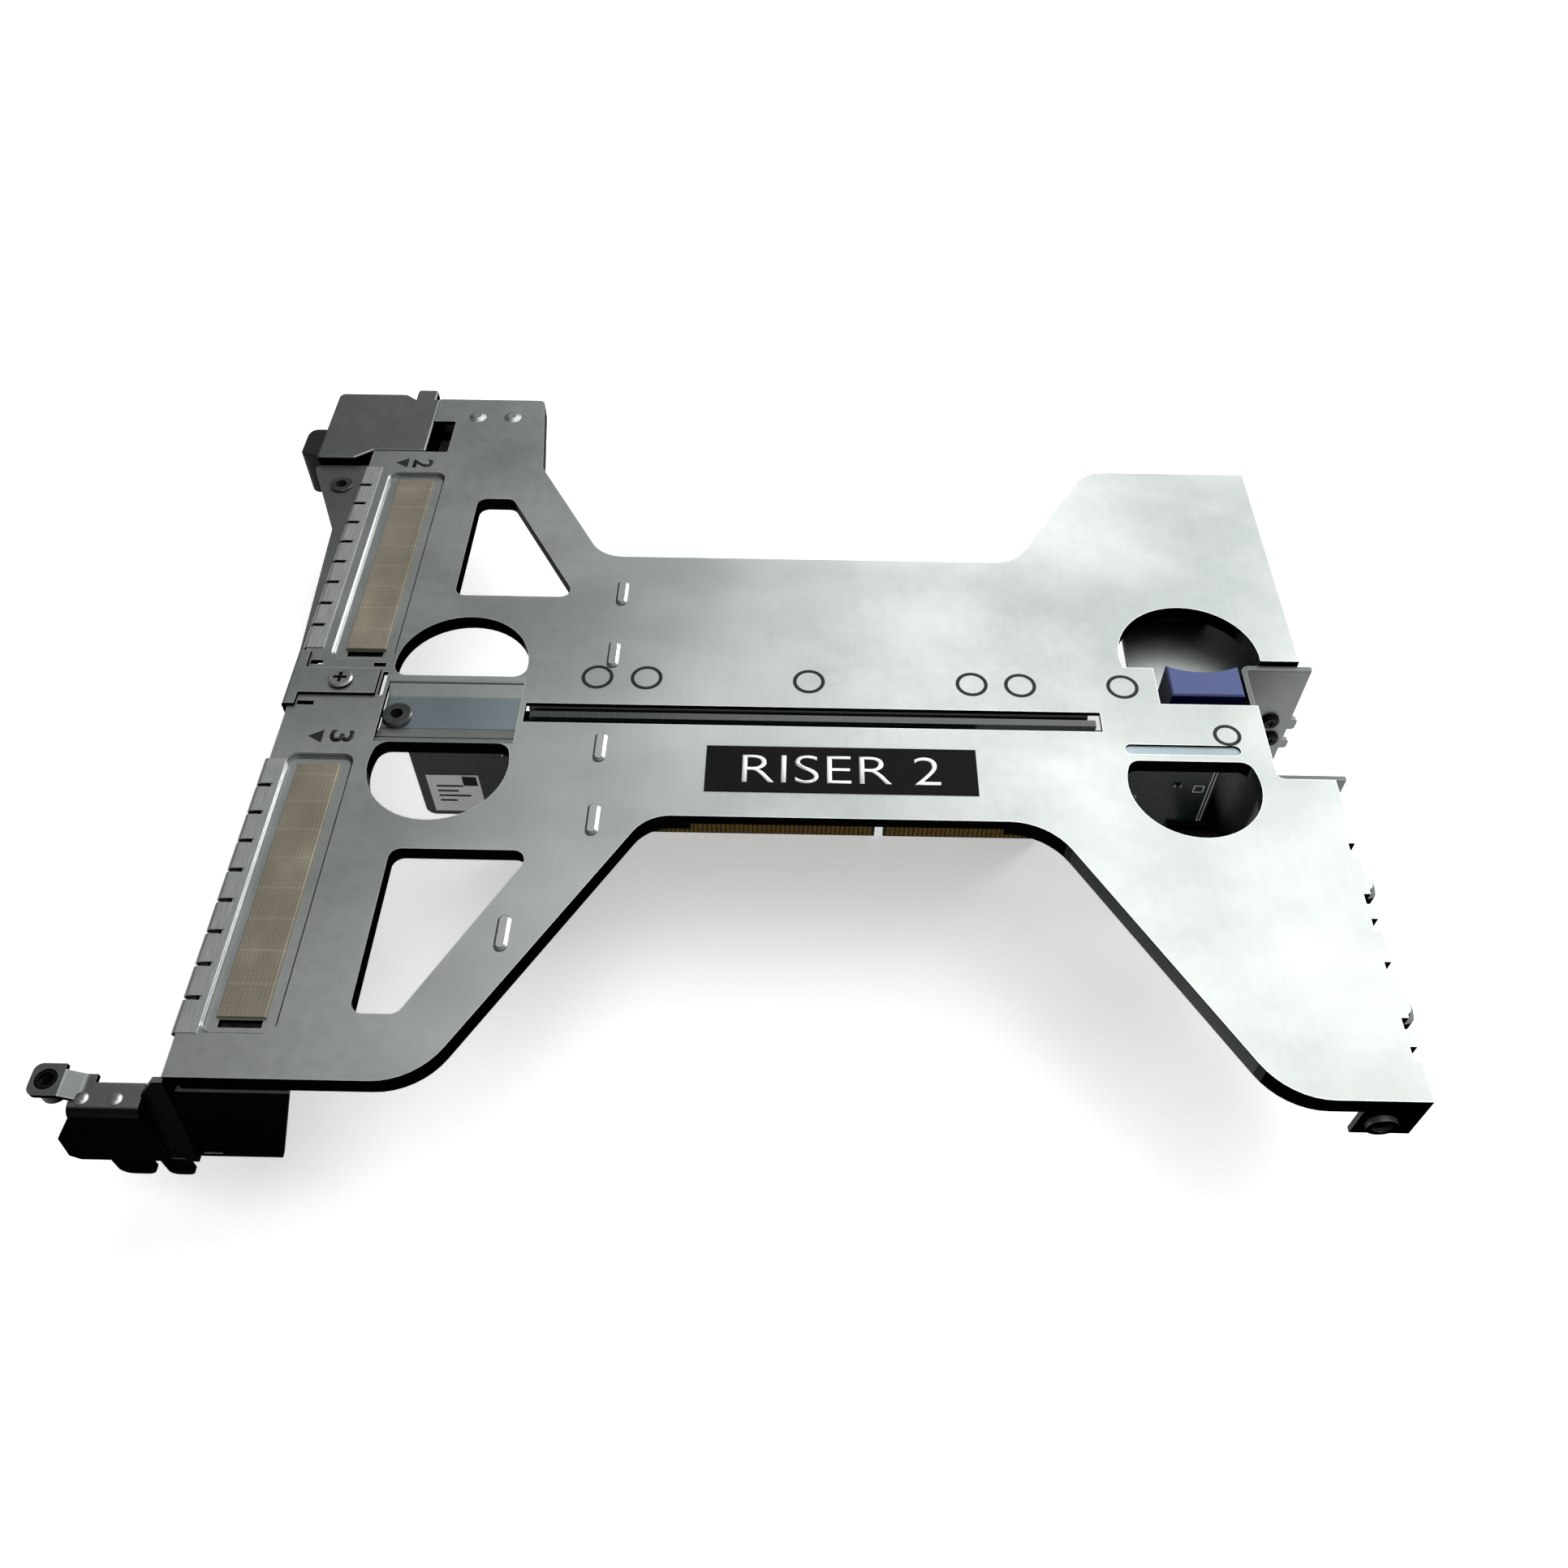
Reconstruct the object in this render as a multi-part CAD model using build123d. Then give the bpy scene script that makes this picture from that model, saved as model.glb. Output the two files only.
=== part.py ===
from build123d import *
import os

# Butterfly riser cage for two low-profile expansion cards, all sizes in mm.
# Origin: middle of the lower edge of the riser board's tongue, where it enters the system board.
# +X runs from the rear (card brackets) to the front, +Y across the cage, +Z up to the top plate.

# Heights
CAGE_HEIGHT = 38.0          # tongue edge to the top face of the plate
SHEET = 1.0                 # galvanised steel of the cage
BEND = 0.8                  # inside radius of a fold
FLANGE_DEPTH = 4.0          # turned-down rim of the plate
WINDOW_FLANGE = 3.2         # turned-down rim of its windows
WAIST_FLANGE = 2.4          # lower rim along the waist, clear of the board
REAR_HEIGHT = 20.7          # rear wall, plate top to its lower edge
FRONT_FLANGE = 11.6         # front rim of the two front arms
SIDE_CORNER = 10.0          # how far that rim is carried round the lower front corner
SEAT_GAP = 0.1              # play between pieces that stand side by side

# Top plate outline
REAR_X = -102.0
FRONT_X = 103.0
LOWER_ARM_Y = -80.6
UPPER_ARM_Y = 78.7
END_ARM_Y = 103.7           # upper rear arm, longer than the others
WAIST_LOW_Y = -25.3
WAIST_HIGH_Y = 46.7
WAIST_REAR_X = -28.0
WAIST_FRONT_X = 47.0
ARM_REAR_X = -61.0
ARM_FRONT_X = 80.0
UPPER_FRONT_X = 66.0
ARM_FILLET = 13.0
WAIST_FILLET = 8.0
NOTCH_X = 92.0              # recess in the front edge
NOTCH_LOW_Y = -13.8
NOTCH_HIGH_Y = 17.7
CORNER = 1.5
FRONT_CORNER = 0.6

# Rear corner of the upper arm, where the bracket clamp sits
CLAMP_X = -89.8
CLAMP_SLOT_X = -84.5
CLAMP_SLOT_Y = 94.7
CLAMP_EDGE_Y = 82.7
END_ARM_TIP_X = -64.0       # front end of the longer rear arm

# Windows between the arms
WINDOW_REAR_X = -74.3
WINDOW_TIP_X = -66.3
WINDOW_WIDE_X = -48.0
WINDOW_NEAR_Y = 34.0
WINDOW_NEAR_UP = 33.5
WINDOW_FAR_UP = 65.7
WINDOW_FAR_LOW = -68.3
WINDOW_CORNER = 2.2

# Finger openings
FINGER_R = 13.6
FINGER_X = -69.2
FINGER_UP_Y = 13.2
FINGER_UP_FLAT = 9.7
FINGER_LOW_Y = -13.7
FINGER_LOW_FLAT = -8.3
FRONT_HOLE_R = 12.7
FRONT_HOLE_X = 75.8
FRONT_HOLE_Y = -15.6
FRONT_HOLE_FLAT = -9.8
LIFT_R = 14.5
LIFT_X = 80.5
LIFT_Y = 18.7
LIFT_EDGE_Y = 5.2
LIFT_STEP_X = 72.5
LIFT_STEP_Y = 15.2

# Pressed features
CHANNEL_DEPTH = 1.5
CHANNEL_FLOOR = 8.0
CHANNEL_REAR_X = -83.0
CHANNEL_FRONT_X = -55.6
POCKET_DEPTH = 1.1
POCKET_SLOPE = 35.0         # slope of its walls, degrees from upright
POCKET_WIDTH = 11.8
POCKET_LENGTH = 59.5
POCKET_UP = (-90.0, 44.5)
POCKET_LOW = (-92.3, -42.0)
POCKET_SLOT = (7.4, 1.5)
POCKET_SLOT_SHIFT = 1.6
RIB_WIDTH = 2.4
RIB_LENGTH = 7.4
RIB_RISE = 0.7
RIB_EASE = 0.5              # sloped edge along the top of a rib
RIBS = [(-38.3, 34.9), (-38.4, 16.4), (-38.5, -8.8), (-38.0, -26.6), (-51.0, -52.0)]
GROOVE_LENGTH = 22.5
GROOVE_WIDTH = 2.5
GROOVE_DEPTH = 0.4
GROOVE_AT = (75.0, -6.9)
DIMPLE_R = 2.1
DIMPLE_RISE = 0.5
DIMPLES = [(-79.5, 96.7), (-71.0, 96.7)]

# Riser board
BOARD_THICK = 1.6
BOARD_REAR_X = -80.0
BOARD_FRONT_X = 87.0
BOARD_FOOT = 5.5            # board's lower edge above the tongue edge
BOARD_DROP = 3.4            # its upper edge below the plate's top, outside the slot
BOARD_CORNER = 2.0
TONGUE_REAR_X = -54.0
TONGUE_FRONT_X = 54.0
TONGUE_KEY_X = (-41.0, 18.0)
TONGUE_KEY_WIDTH = 1.9
TONGUE_CHAMFER = 1.2
SLOT_REAR_X = -54.5
SLOT_FRONT_X = 60.0
SLOT_WIDTH = 5.1
SLOT_PLAY = 1.0             # board tab to slot end
BOARD_TOP_GAP = 0.4         # board tab below the plate's top face

# Card sockets on the board
SOCKET_LENGTH = 89.0
SOCKET_WIDTH = 7.5
SOCKET_TALL = 11.25
SOCKET_REAR_X = -53.5
SOCKET_MOUTH = 2.0
SOCKET_DEEP = 8.4
SOCKET_KEY_X = 13.7         # key, from the socket's rear end
SOCKET_KEY = 1.8
SOCKET_WALL = 2.2           # end wall
SOCKET_CHAMFER = 0.8
SOUTH_DROP = 5.6            # socket centre below the plate's top, card upside down
NORTH_DROP = 16.4
CONTACT_PITCH = 1.0
CONTACT_WIDTH = 0.5
CONTACT_THICK = 0.35
CONTACT_RUN = 7.0
CONTACT_COUNT = int((SOCKET_LENGTH - 2 * SOCKET_WALL - CONTACT_PITCH) / CONTACT_PITCH) - 1
POST_R = 1.1
POST_LENGTH = 0.9

# Rear wall and the card bracket windows
BRACKET_WIN_LENGTH = 59.2
BRACKET_WIN_HEIGHT = 12.4
BRACKET_WIN_DROP = 11.0     # window centre below the plate's top
BRACKET_WIN_Y = (-42.6, 41.4)
REAR_LOW_Y = -84.9
REAR_HIGH_Y = 81.7
WING_LOW_X = -86.9          # end of the sloping wing at its lower and upper edge
WING_HIGH_X = -82.2
WING_TILT = 3.8             # the wing leans in towards the plate by this much
REAR_FOLD = 5.0

# Ledge over the upper bracket and the clamp beside it
LEDGE_DROP = 2.0
LEDGE_THICK = 1.2
LEDGE_OUT_X = -116.0
LEDGE_MID = (-106.5, 56.6)
LEDGE_TIP = (-104.2, 16.2)
LEDGE_LIP = 3.0
LEDGE_END_Y = 79.6
INSERT_AT = (-107.8, 72.2)
INSERT_R = 2.6
INSERT_TALL = 3.0
SCREW_TAP_R = 1.25          # M3 tapping radius
CLAMP_OUT_X = -115.2
CLAMP_LOW_Y = 80.2
CLAMP_HIGH_Y = 105.6
CLAMP_STEP_X = -102.2
CLAMP_STEP_Y = 83.2
CLAMP_STEP_RUN = 4.0
CLAMP_DEPTH = 20.7
CLAMP_TAB = (-93.5, 5.0, 1.9)
CLAMP_FOOT_DROP = 7.5       # tongue of the clamp below the gap beside it
CLAMP_FOOT_X = -78.5
CLAMP_FOOT_Y = (83.5, 97.0)
BUMPER_OUT = 4.9
BUMPER_Y = (82.2, 92.8)
BUMPER_DROP = 1.2
BUMPER_TALL = 11.0

# Lower end bracket
END_ARM_DROP = 5.0
END_ARM_X = (-118.4, -106.6)
END_ARM_WIDTH = 5.6
END_FACE_DROP = 23.2        # lower edge of its south face
END_FACE_OUT_X = -124.2     # widest point of that face
END_FACE_WIDE_DROP = 15.0
END_TAB_X = (-125.1, -119.8)
END_TAB_Y = (-82.6, -76.8)
END_TAB_DROP = 3.4
FOOT_DROP = 5.6
FEET = [(-114.2, 6.6), (-106.6, 4.6)]
NUT_R = 2.4
NUT_TALL = 3.2
NUT_COLLAR_R = 1.9

# Centre clip at the rear edge
CLIP_X = (-100.6, -85.2)
CLIP_Y = (3.9, 10.8)
CLIP_RISE = 0.7
CLIP_SCREW_X = -92.6
CLIP_LIP_Y = (0.8, 15.6)
CLIP_LIP = (1.2, 6.0)
CLIP_SLOTS = [(-99.0, 12.9, 2.6, 1.2), (-85.9, 12.4, 2.6, 1.1), (-84.2, 7.2, 1.0, 6.4), (-98.6, 1.6, 3.4, 1.1)]
CLIP_SHANK = (1.3, 3.2)
SCREW_HEAD_R = 2.5
SCREW_HEAD_TALL = 0.9
HEAD_EASE = 0.4             # of the head's height
CROSS_REACH = 1.1           # of the head's radius
CROSS_WIDTH = 0.28
CHANNEL_RING_R = 3.0
CHANNEL_RING_AT = (-80.0, -0.4)
CHANNEL_RING_RISE = 1.0
CHANNEL_RING_SHANK = (2.0, 1.6)

# Contact finger strips on the rear edge
FINGER_PITCH = 6.6
FINGER_GAP = 0.9
STRIP_THICK = 0.2
STRIP_BULGE = 1.0
STRIP_DEPTH = 1.7
STRIP_TOP = 3.4
STRIP_NOTCH = (2.0, 2.4)
STRIP_UP_Y = (17.0, 76.5)
STRIP_LOW_Y = (-72.6, -13.2)

# Board carrier under the plate
CARRIER_X = (-54.2, 71.3)
CARRIER_WEB_FRONT = 58.0
CARRIER_Y = 2.6
CARRIER_FLANGE_Y = 14.0
CARRIER_DEPTH = 29.5
CARRIER_PLAY = 1.0          # round the north socket
RIVET_R = 3.0
RIVET_SHANK_R = 1.6
RIVET_GAP = 0.4
RIVETS = [(-41.0, 10.0), (-31.0, 10.0), (2.0, 9.7), (35.0, 9.7), (44.8, 9.6), (65.5, 9.7)]
BRACKET_RIVET = (84.3, -2.9)
BRACKET_RIVET_R = 2.5
STANDOFF_R = 2.4
SCREW_BESIDE_SOCKET = SOCKET_REAR_X + SOCKET_LENGTH + 10.5
BOARD_SCREWS = [(-44.0, 12.0), (SCREW_BESIDE_SOCKET, 12.0), (SCREW_BESIDE_SOCKET, 27.5)]
BOARD_SCREW_R = 1.4
BOARD_SCREW_HEAD = (2.6, 1.7)
SCREW_PLAY = 0.1

# Front bracket
FRONT_WEB_X = 91.0
FRONT_WING_X = 105.6
FRONT_DEPTH = 33.0
FRONT_LOW_Y = -13.0
FRONT_HIGH_Y = 17.2
FRONT_TOP_X = 79.0
FRONT_SCREWS = [(101.2, 16.4), (102.6, 22.0)]
FRONT_SCREW_R = 1.2
FRONT_SCREW_HEAD = (1.9, 1.2)
FRONT_LUGS = [(17.6, 3.2), (24.0, 2.6)]
FRONT_LUG_REACH = 1.5
FRONT_TAB_Y = (-8.0, 4.2)
FRONT_FOOT_X = 83.0         # lower fold of the front bracket, towards the board
FRONT_FOOT_Y = (-12.0, -1.6)
LOBE_REACH = 2.0
LOBE_LENGTH = 5.4
LOBE_DROP = 1.2
LOBE_TALL = 5.0
LOBES = [-37.0, -62.5]
HOOK_NOTCHES = [(-30.4, 3.0), (-41.3, 2.2), (-46.8, 2.6), (-55.9, 3.0), (-66.4, 2.2), (-72.0, 2.6)]
NOTCH_BITE = 1.3
PIN_BOSS_AT = (97.0, 7.6)
PIN_BOSS_R = 2.6

# Lifting point
SHELF_DROP = 9.0
SHELF_X = (70.5, 90.7)
SHELF_Y = (4.4, 40.0)
SHELF_LIP = 8.0
SHELF_WIDE_X = 101.7        # the shelf reaches on under the front arm
SHELF_WIDE_Y = (18.0, 38.0)
TOUCH_X = (75.5, 90.2)
TOUCH_Y = (8.3, 17.2)
TOUCH_TOP_DROP = 0.5
TOUCH_SCOOP_R = 17.0
TOUCH_SCOOP = 2.2

# Small parts on the board and the plate
LABEL_X = (-17.7, 34.5)
LABEL_Y = (-19.3, -8.0)
LABEL_THICK = 0.2
TAG_SIZE = (11.0, 12.0)
TAG_AT = (-72.4, 13.0)
CHIP_SIZE = 5.0
CHIP_TALL = 0.9
CHIPS = [-20.0, 2.0, 24.0]
CHIP_HEIGHT_AT = 13.0
CAP_R = 3.1
CAP_TALL = 5.6
CAP_COUNT = 3
CAP_PITCH = 7.0
CAP_BESIDE_SCREW = 8.0      # centre of the first capacitor to the screw beside it
CAP_HEIGHT_AT = 12.5
GASKET_MARGIN = 1.7
GASKET_THICK = 0.7
GASKET_CLEAR = 0.3          # gasket end to the slot beside it

# Derived heights, measured up from the tongue edge
TOP = CAGE_HEIGHT
UNDER = TOP - SHEET
BOARD_TOP = TOP - BOARD_DROP
HALF_BOARD = BOARD_THICK / 2


def block(x, y, z):
    """Rectangular solid between two values on each axis."""
    size = (x[1] - x[0], y[1] - y[0], z[1] - z[0])
    return Pos((x[0] + x[1]) / 2, (y[0] + y[1]) / 2, (z[0] + z[1]) / 2) * Box(*size)


def outline(points, radii):
    """Flat face with its corners rounded, one radius for each point."""
    face = make_face(Polyline(*points, points[0]))
    for point, radius in zip(points, radii):
        if radius > 0:
            corner = face.vertices().sort_by_distance((point[0], point[1], 0))[0]
            face = fillet(corner, radius)
    return face


def rim(face, width, depth, outward):
    """Wall that follows the edge of a face and hangs below the plate."""
    grown = offset(face, width if outward else -width, kind=Kind.ARC)
    ring = grown - face if outward else face - grown
    return Pos(0, 0, TOP - depth) * extrude(ring, depth)


def plate_outline():
    """Dog-bone outline with its round fillets between arms and waist."""
    points = [
        (REAR_X, LOWER_ARM_Y), (ARM_REAR_X, LOWER_ARM_Y),
        (WAIST_REAR_X, WAIST_LOW_Y), (WAIST_FRONT_X, WAIST_LOW_Y),
        (ARM_FRONT_X, LOWER_ARM_Y), (FRONT_X, LOWER_ARM_Y),
        (FRONT_X, NOTCH_LOW_Y), (NOTCH_X, NOTCH_LOW_Y),
        (NOTCH_X, NOTCH_HIGH_Y), (FRONT_X, NOTCH_HIGH_Y),
        (FRONT_X, UPPER_ARM_Y), (UPPER_FRONT_X, UPPER_ARM_Y),
        (WAIST_FRONT_X, WAIST_HIGH_Y), (WAIST_REAR_X - 2 * WAIST_FILLET, WAIST_HIGH_Y),
        (ARM_REAR_X, UPPER_ARM_Y - CORNER), (END_ARM_TIP_X, END_ARM_Y),
        (CLAMP_X, END_ARM_Y), (CLAMP_X, CLAMP_SLOT_Y),
        (CLAMP_SLOT_X, CLAMP_SLOT_Y), (CLAMP_SLOT_X, CLAMP_EDGE_Y), (REAR_X, CLAMP_EDGE_Y),
    ]
    radii = [
        0, ARM_FILLET, WAIST_FILLET, ARM_FILLET, ARM_FILLET, FRONT_CORNER,
        CORNER, CORNER, CORNER, FRONT_CORNER, CORNER, WAIST_FILLET,
        WAIST_FILLET, WAIST_FILLET, CORNER, CORNER,
        0, 0, CORNER / 3, CORNER / 3, 0,
    ]
    return outline(points, radii)


def window(far_y, near_y):
    """Four-sided window between two arms."""
    points = [
        (WINDOW_REAR_X, far_y), (WINDOW_TIP_X, far_y),
        (WINDOW_WIDE_X, near_y), (WINDOW_REAR_X, near_y),
    ]
    return outline(points, [WINDOW_CORNER] * 4)


def flat_circle(x, y, radius, flat_y, keep_above):
    """Circle with one side cut off straight, its two corners eased."""
    disc = Pos(x, y) * Circle(radius)
    half = Rectangle(3 * radius, 2 * radius)
    shift = radius if keep_above else -radius
    face = disc & Pos(x, flat_y + shift) * half
    corners = face.vertices()
    return fillet(corners, radius / 5)


def finger_holes():
    """Rear pair and lower front opening."""
    return [
        flat_circle(FINGER_X, FINGER_UP_Y, FINGER_R, FINGER_UP_FLAT, True),
        flat_circle(FINGER_X, FINGER_LOW_Y, FINGER_R, FINGER_LOW_FLAT, False),
        flat_circle(FRONT_HOLE_X, FRONT_HOLE_Y, FRONT_HOLE_R, FRONT_HOLE_FLAT, False),
    ]


def lift_opening():
    """Opening over the lifting point, run out through the front recess."""
    disc = Pos(LIFT_X, LIFT_Y) * Circle(LIFT_R)
    upper = Pos(LIFT_X, LIFT_STEP_Y + LIFT_R) * Rectangle(3 * LIFT_R, 2 * LIFT_R)
    reach = NOTCH_X + SHEET - LIFT_STEP_X
    rise = LIFT_STEP_Y + CORNER - LIFT_EDGE_Y
    lower = Pos(LIFT_STEP_X + reach / 2, LIFT_EDGE_Y + rise / 2) * Rectangle(reach, rise)
    return (disc & upper) + lower


def pocket(centre, depth_extra):
    """Long shallow pocket, drawn with sloped ends; used for its hollow and its underside."""
    grow = depth_extra
    face = RectangleRounded(POCKET_WIDTH + 2 * grow, POCKET_LENGTH + 2 * grow, CORNER + grow)
    return Pos(centre[0], centre[1]) * face


def channel(drop, side):
    """Sloped trough between the two rear finger openings."""
    half = CHANNEL_FLOOR / 2 + side
    mid_y = (FINGER_UP_FLAT + FINGER_LOW_FLAT) / 2
    top_half = (FINGER_UP_FLAT - FINGER_LOW_FLAT) / 2 + side
    profile = Polygon(
        (mid_y - top_half, TOP - drop), (mid_y + top_half, TOP - drop),
        (mid_y + half, TOP - CHANNEL_DEPTH - drop), (mid_y - half, TOP - CHANNEL_DEPTH - drop),
        align=None,
    )
    placed = Pos(CHANNEL_REAR_X - side, 0, 0) * (Plane.YZ * profile)
    return extrude(placed, CHANNEL_FRONT_X - CHANNEL_REAR_X + 2 * side, dir=(1, 0, 0))


def rib(x, y):
    """Raised bead along Y with rounded ends."""
    face = Pos(x, y, TOP - SHEET / 2) * SlotOverall(RIB_LENGTH, RIB_WIDTH, rotation=90)
    bead = extrude(face, RIB_RISE + SHEET / 2)
    return chamfer(bead.edges().group_by(Axis.Z)[-1], RIB_EASE)


def front_flange():
    """Deep front rim of the two arms with its hooks and notches."""
    wall = block((FRONT_X - SHEET, FRONT_X), (LOWER_ARM_Y, NOTCH_LOW_Y), (TOP - FRONT_FLANGE, TOP))
    wall += block((FRONT_X - SHEET, FRONT_X), (NOTCH_HIGH_Y, UPPER_ARM_Y), (TOP - FRONT_FLANGE, TOP))
    for y in LOBES:
        lobe = post_z(FRONT_X, y, LOBE_LENGTH / 2, TOP - LOBE_TALL, TOP - LOBE_DROP)
        lobe = chamfer(lobe.edges().group_by(Axis.Z)[-1], LOBE_DROP)
        reach = (FRONT_X - SHEET / 2, FRONT_X + LOBE_REACH)
        wall += lobe & block(reach, (y - LOBE_LENGTH, y + LOBE_LENGTH), (0, TOP))
    return wall


def top_plate():
    face = plate_outline()
    holes = finger_holes()
    windows = [window(WINDOW_FAR_UP, WINDOW_NEAR_UP), window(WINDOW_FAR_LOW, -WINDOW_NEAR_Y)]
    body = Pos(0, 0, UNDER) * extrude(face, SHEET)
    skirt = rim(face, SHEET, FLANGE_DEPTH, False)
    skirt -= block((REAR_X - 1, REAR_X + 2 * SHEET), (LOWER_ARM_Y - 1, CLAMP_EDGE_Y + 1), (0, UNDER))
    skirt -= block((REAR_X - 1, CLAMP_X + 2 * SHEET), (CLAMP_EDGE_Y - 2 * SHEET, END_ARM_Y - SHEET), (0, UNDER))
    slot_x = (CLAMP_X - 1, CLAMP_SLOT_X + 2 * SHEET)
    skirt -= block(slot_x, (CLAMP_EDGE_Y - 2, CLAMP_SLOT_Y + 2 * SHEET), (0, UNDER))
    skirt -= block((NOTCH_X - 3 * SHEET, FRONT_X + 1), (NOTCH_LOW_Y - 2 * SHEET, NOTCH_HIGH_Y), (0, UNDER))
    waist = (WAIST_REAR_X + WAIST_FILLET, WAIST_FRONT_X - WAIST_FILLET)
    skirt -= block(waist, (WAIST_LOW_Y - 1, WAIST_LOW_Y + 2 * SHEET), (0, TOP - WAIST_FLANGE))
    body += skirt
    body += front_flange()
    corner = (FRONT_X - SIDE_CORNER, FRONT_X)
    body += block(corner, (LOWER_ARM_Y, LOWER_ARM_Y + SHEET), (TOP - FRONT_FLANGE, TOP))
    for hole in holes + windows:
        body -= Pos(0, 0, TOP - FLANGE_DEPTH - 1) * extrude(hole, FLANGE_DEPTH + 2)
        body += rim(hole, SHEET, WINDOW_FLANGE, True)
    opening = lift_opening()
    lift_rim = rim(opening, SHEET, WINDOW_FLANGE, True)
    body += lift_rim & block((0, NOTCH_X), (LIFT_EDGE_Y, 2 * LIFT_Y), (0, TOP))
    body += lift_rim & block((NOTCH_X, FRONT_X - SHEET), (NOTCH_HIGH_Y, 2 * LIFT_Y), (0, TOP))
    body -= Pos(0, 0, TOP - FLANGE_DEPTH - 1) * extrude(opening, FLANGE_DEPTH + 2)
    body += channel(SHEET, 0) - channel(0, 0)
    body -= channel(0, 0)
    for centre in (POCKET_UP, POCKET_LOW):
        body += Pos(0, 0, UNDER - POCKET_DEPTH) * extrude(pocket(centre, SHEET), SHEET + POCKET_DEPTH / 2)
        body -= Pos(0, 0, TOP - POCKET_DEPTH) * extrude(pocket(centre, 0), POCKET_DEPTH, taper=-POCKET_SLOPE)
        slot_y = centre[1] - POCKET_LENGTH / 2 + POCKET_SLOT_SHIFT
        slot = Pos(centre[0], slot_y, UNDER) * Box(POCKET_SLOT[0], POCKET_SLOT[1], 4 * SHEET)
        body -= slot
    for x, y in RIBS:
        body += rib(x, y)
    for x, y in DIMPLES:
        dimple = Cone(DIMPLE_R, DIMPLE_R / 2, DIMPLE_RISE, align=(Align.CENTER, Align.CENTER, Align.MIN))
        body += Pos(x, y, TOP) * dimple
    groove = Pos(*GROOVE_AT, TOP - GROOVE_DEPTH) * SlotOverall(GROOVE_LENGTH, GROOVE_WIDTH)
    body -= extrude(groove, 1)
    slot = block((SLOT_REAR_X, SLOT_FRONT_X), (-SLOT_WIDTH / 2, SLOT_WIDTH / 2), (0, TOP + 1))
    body -= slot
    for y, length in HOOK_NOTCHES:
        bite = (FRONT_X - NOTCH_BITE, FRONT_X + 1)
        body -= block(bite, (y - length / 2, y + length / 2), (UNDER - 2, TOP + 1))
    return body


def folded_x(points, x_range, side=Side.RIGHT):
    """Folded sheet drawn in YZ and run along X."""
    line = FilletPolyline(*points, radius=BEND + SHEET)
    profile = Face(Wire(line.edges()).offset_2d(SHEET, kind=Kind.ARC, side=side, closed=True))
    return Pos(x_range[0], 0, 0) * extrude(Plane.YZ * profile, x_range[1] - x_range[0], dir=(1, 0, 0))


def folded_y(points, y_range, side=Side.RIGHT):
    """Folded sheet drawn in XZ and run along Y."""
    line = FilletPolyline(*points, radius=BEND + SHEET)
    profile = Face(Wire(line.edges()).offset_2d(SHEET, kind=Kind.ARC, side=side, closed=True))
    return Pos(0, y_range[0], 0) * extrude(Plane.XZ * profile, y_range[1] - y_range[0], dir=(0, 1, 0))


def post_z(x, y, radius, z_low, z_high):
    """Round post between two heights."""
    return Pos(x, y, z_low) * Cylinder(radius, z_high - z_low, align=(Align.CENTER, Align.CENTER, Align.MIN))


def post_y(x, z, radius, y_low, y_high):
    """Round post along Y."""
    turned = Rot(90, 0, 0) * Cylinder(radius, y_high - y_low)
    return Pos(x, (y_low + y_high) / 2, z) * turned


def rear_panel():
    """Rear wall with a window for each card bracket, a lower fold and a wing round the south end."""
    low = TOP - REAR_HEIGHT
    wall = folded_y(
        [(REAR_X, UNDER), (REAR_X, low), (REAR_X + REAR_FOLD, low)],
        (REAR_LOW_Y, REAR_HIGH_Y), Side.LEFT,
    )
    for y in BRACKET_WIN_Y:
        half = BRACKET_WIN_LENGTH / 2
        z = TOP - BRACKET_WIN_DROP
        rise = BRACKET_WIN_HEIGHT / 2
        wall -= block((REAR_X - 1, REAR_X + SHEET + BEND), (y - half, y + half), (z - rise, z + rise))
    wing_top = TOP - FLANGE_DEPTH - SEAT_GAP
    lean = REAR_LOW_Y + WING_TILT
    slope = Polygon(
        (REAR_LOW_Y - SHEET, low), (REAR_LOW_Y, low), (lean, wing_top), (LOWER_ARM_Y, UNDER),
        (REAR_LOW_Y - SHEET, UNDER), align=None,
    )
    wall -= Pos(REAR_X - SHEET, 0, 0) * extrude(Plane.YZ * slope, 2 * SHEET + BEND, dir=(1, 0, 0))
    leaning = Polygon(
        (REAR_LOW_Y, low), (REAR_LOW_Y + SHEET, low), (lean + SHEET, wing_top), (lean, wing_top), align=None,
    )
    wing = Pos(REAR_X, 0, 0) * extrude(Plane.YZ * leaning, WING_HIGH_X - REAR_X, dir=(1, 0, 0))
    past_end = Polygon((WING_LOW_X, low), (WING_HIGH_X, wing_top), (0, wing_top), (0, low), align=None)
    wing -= Pos(0, REAR_LOW_Y - SHEET, 0) * extrude(Plane.XZ * past_end, 2 * END_ARM_WIDTH, dir=(0, 1, 0))
    return wall + wing


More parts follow.
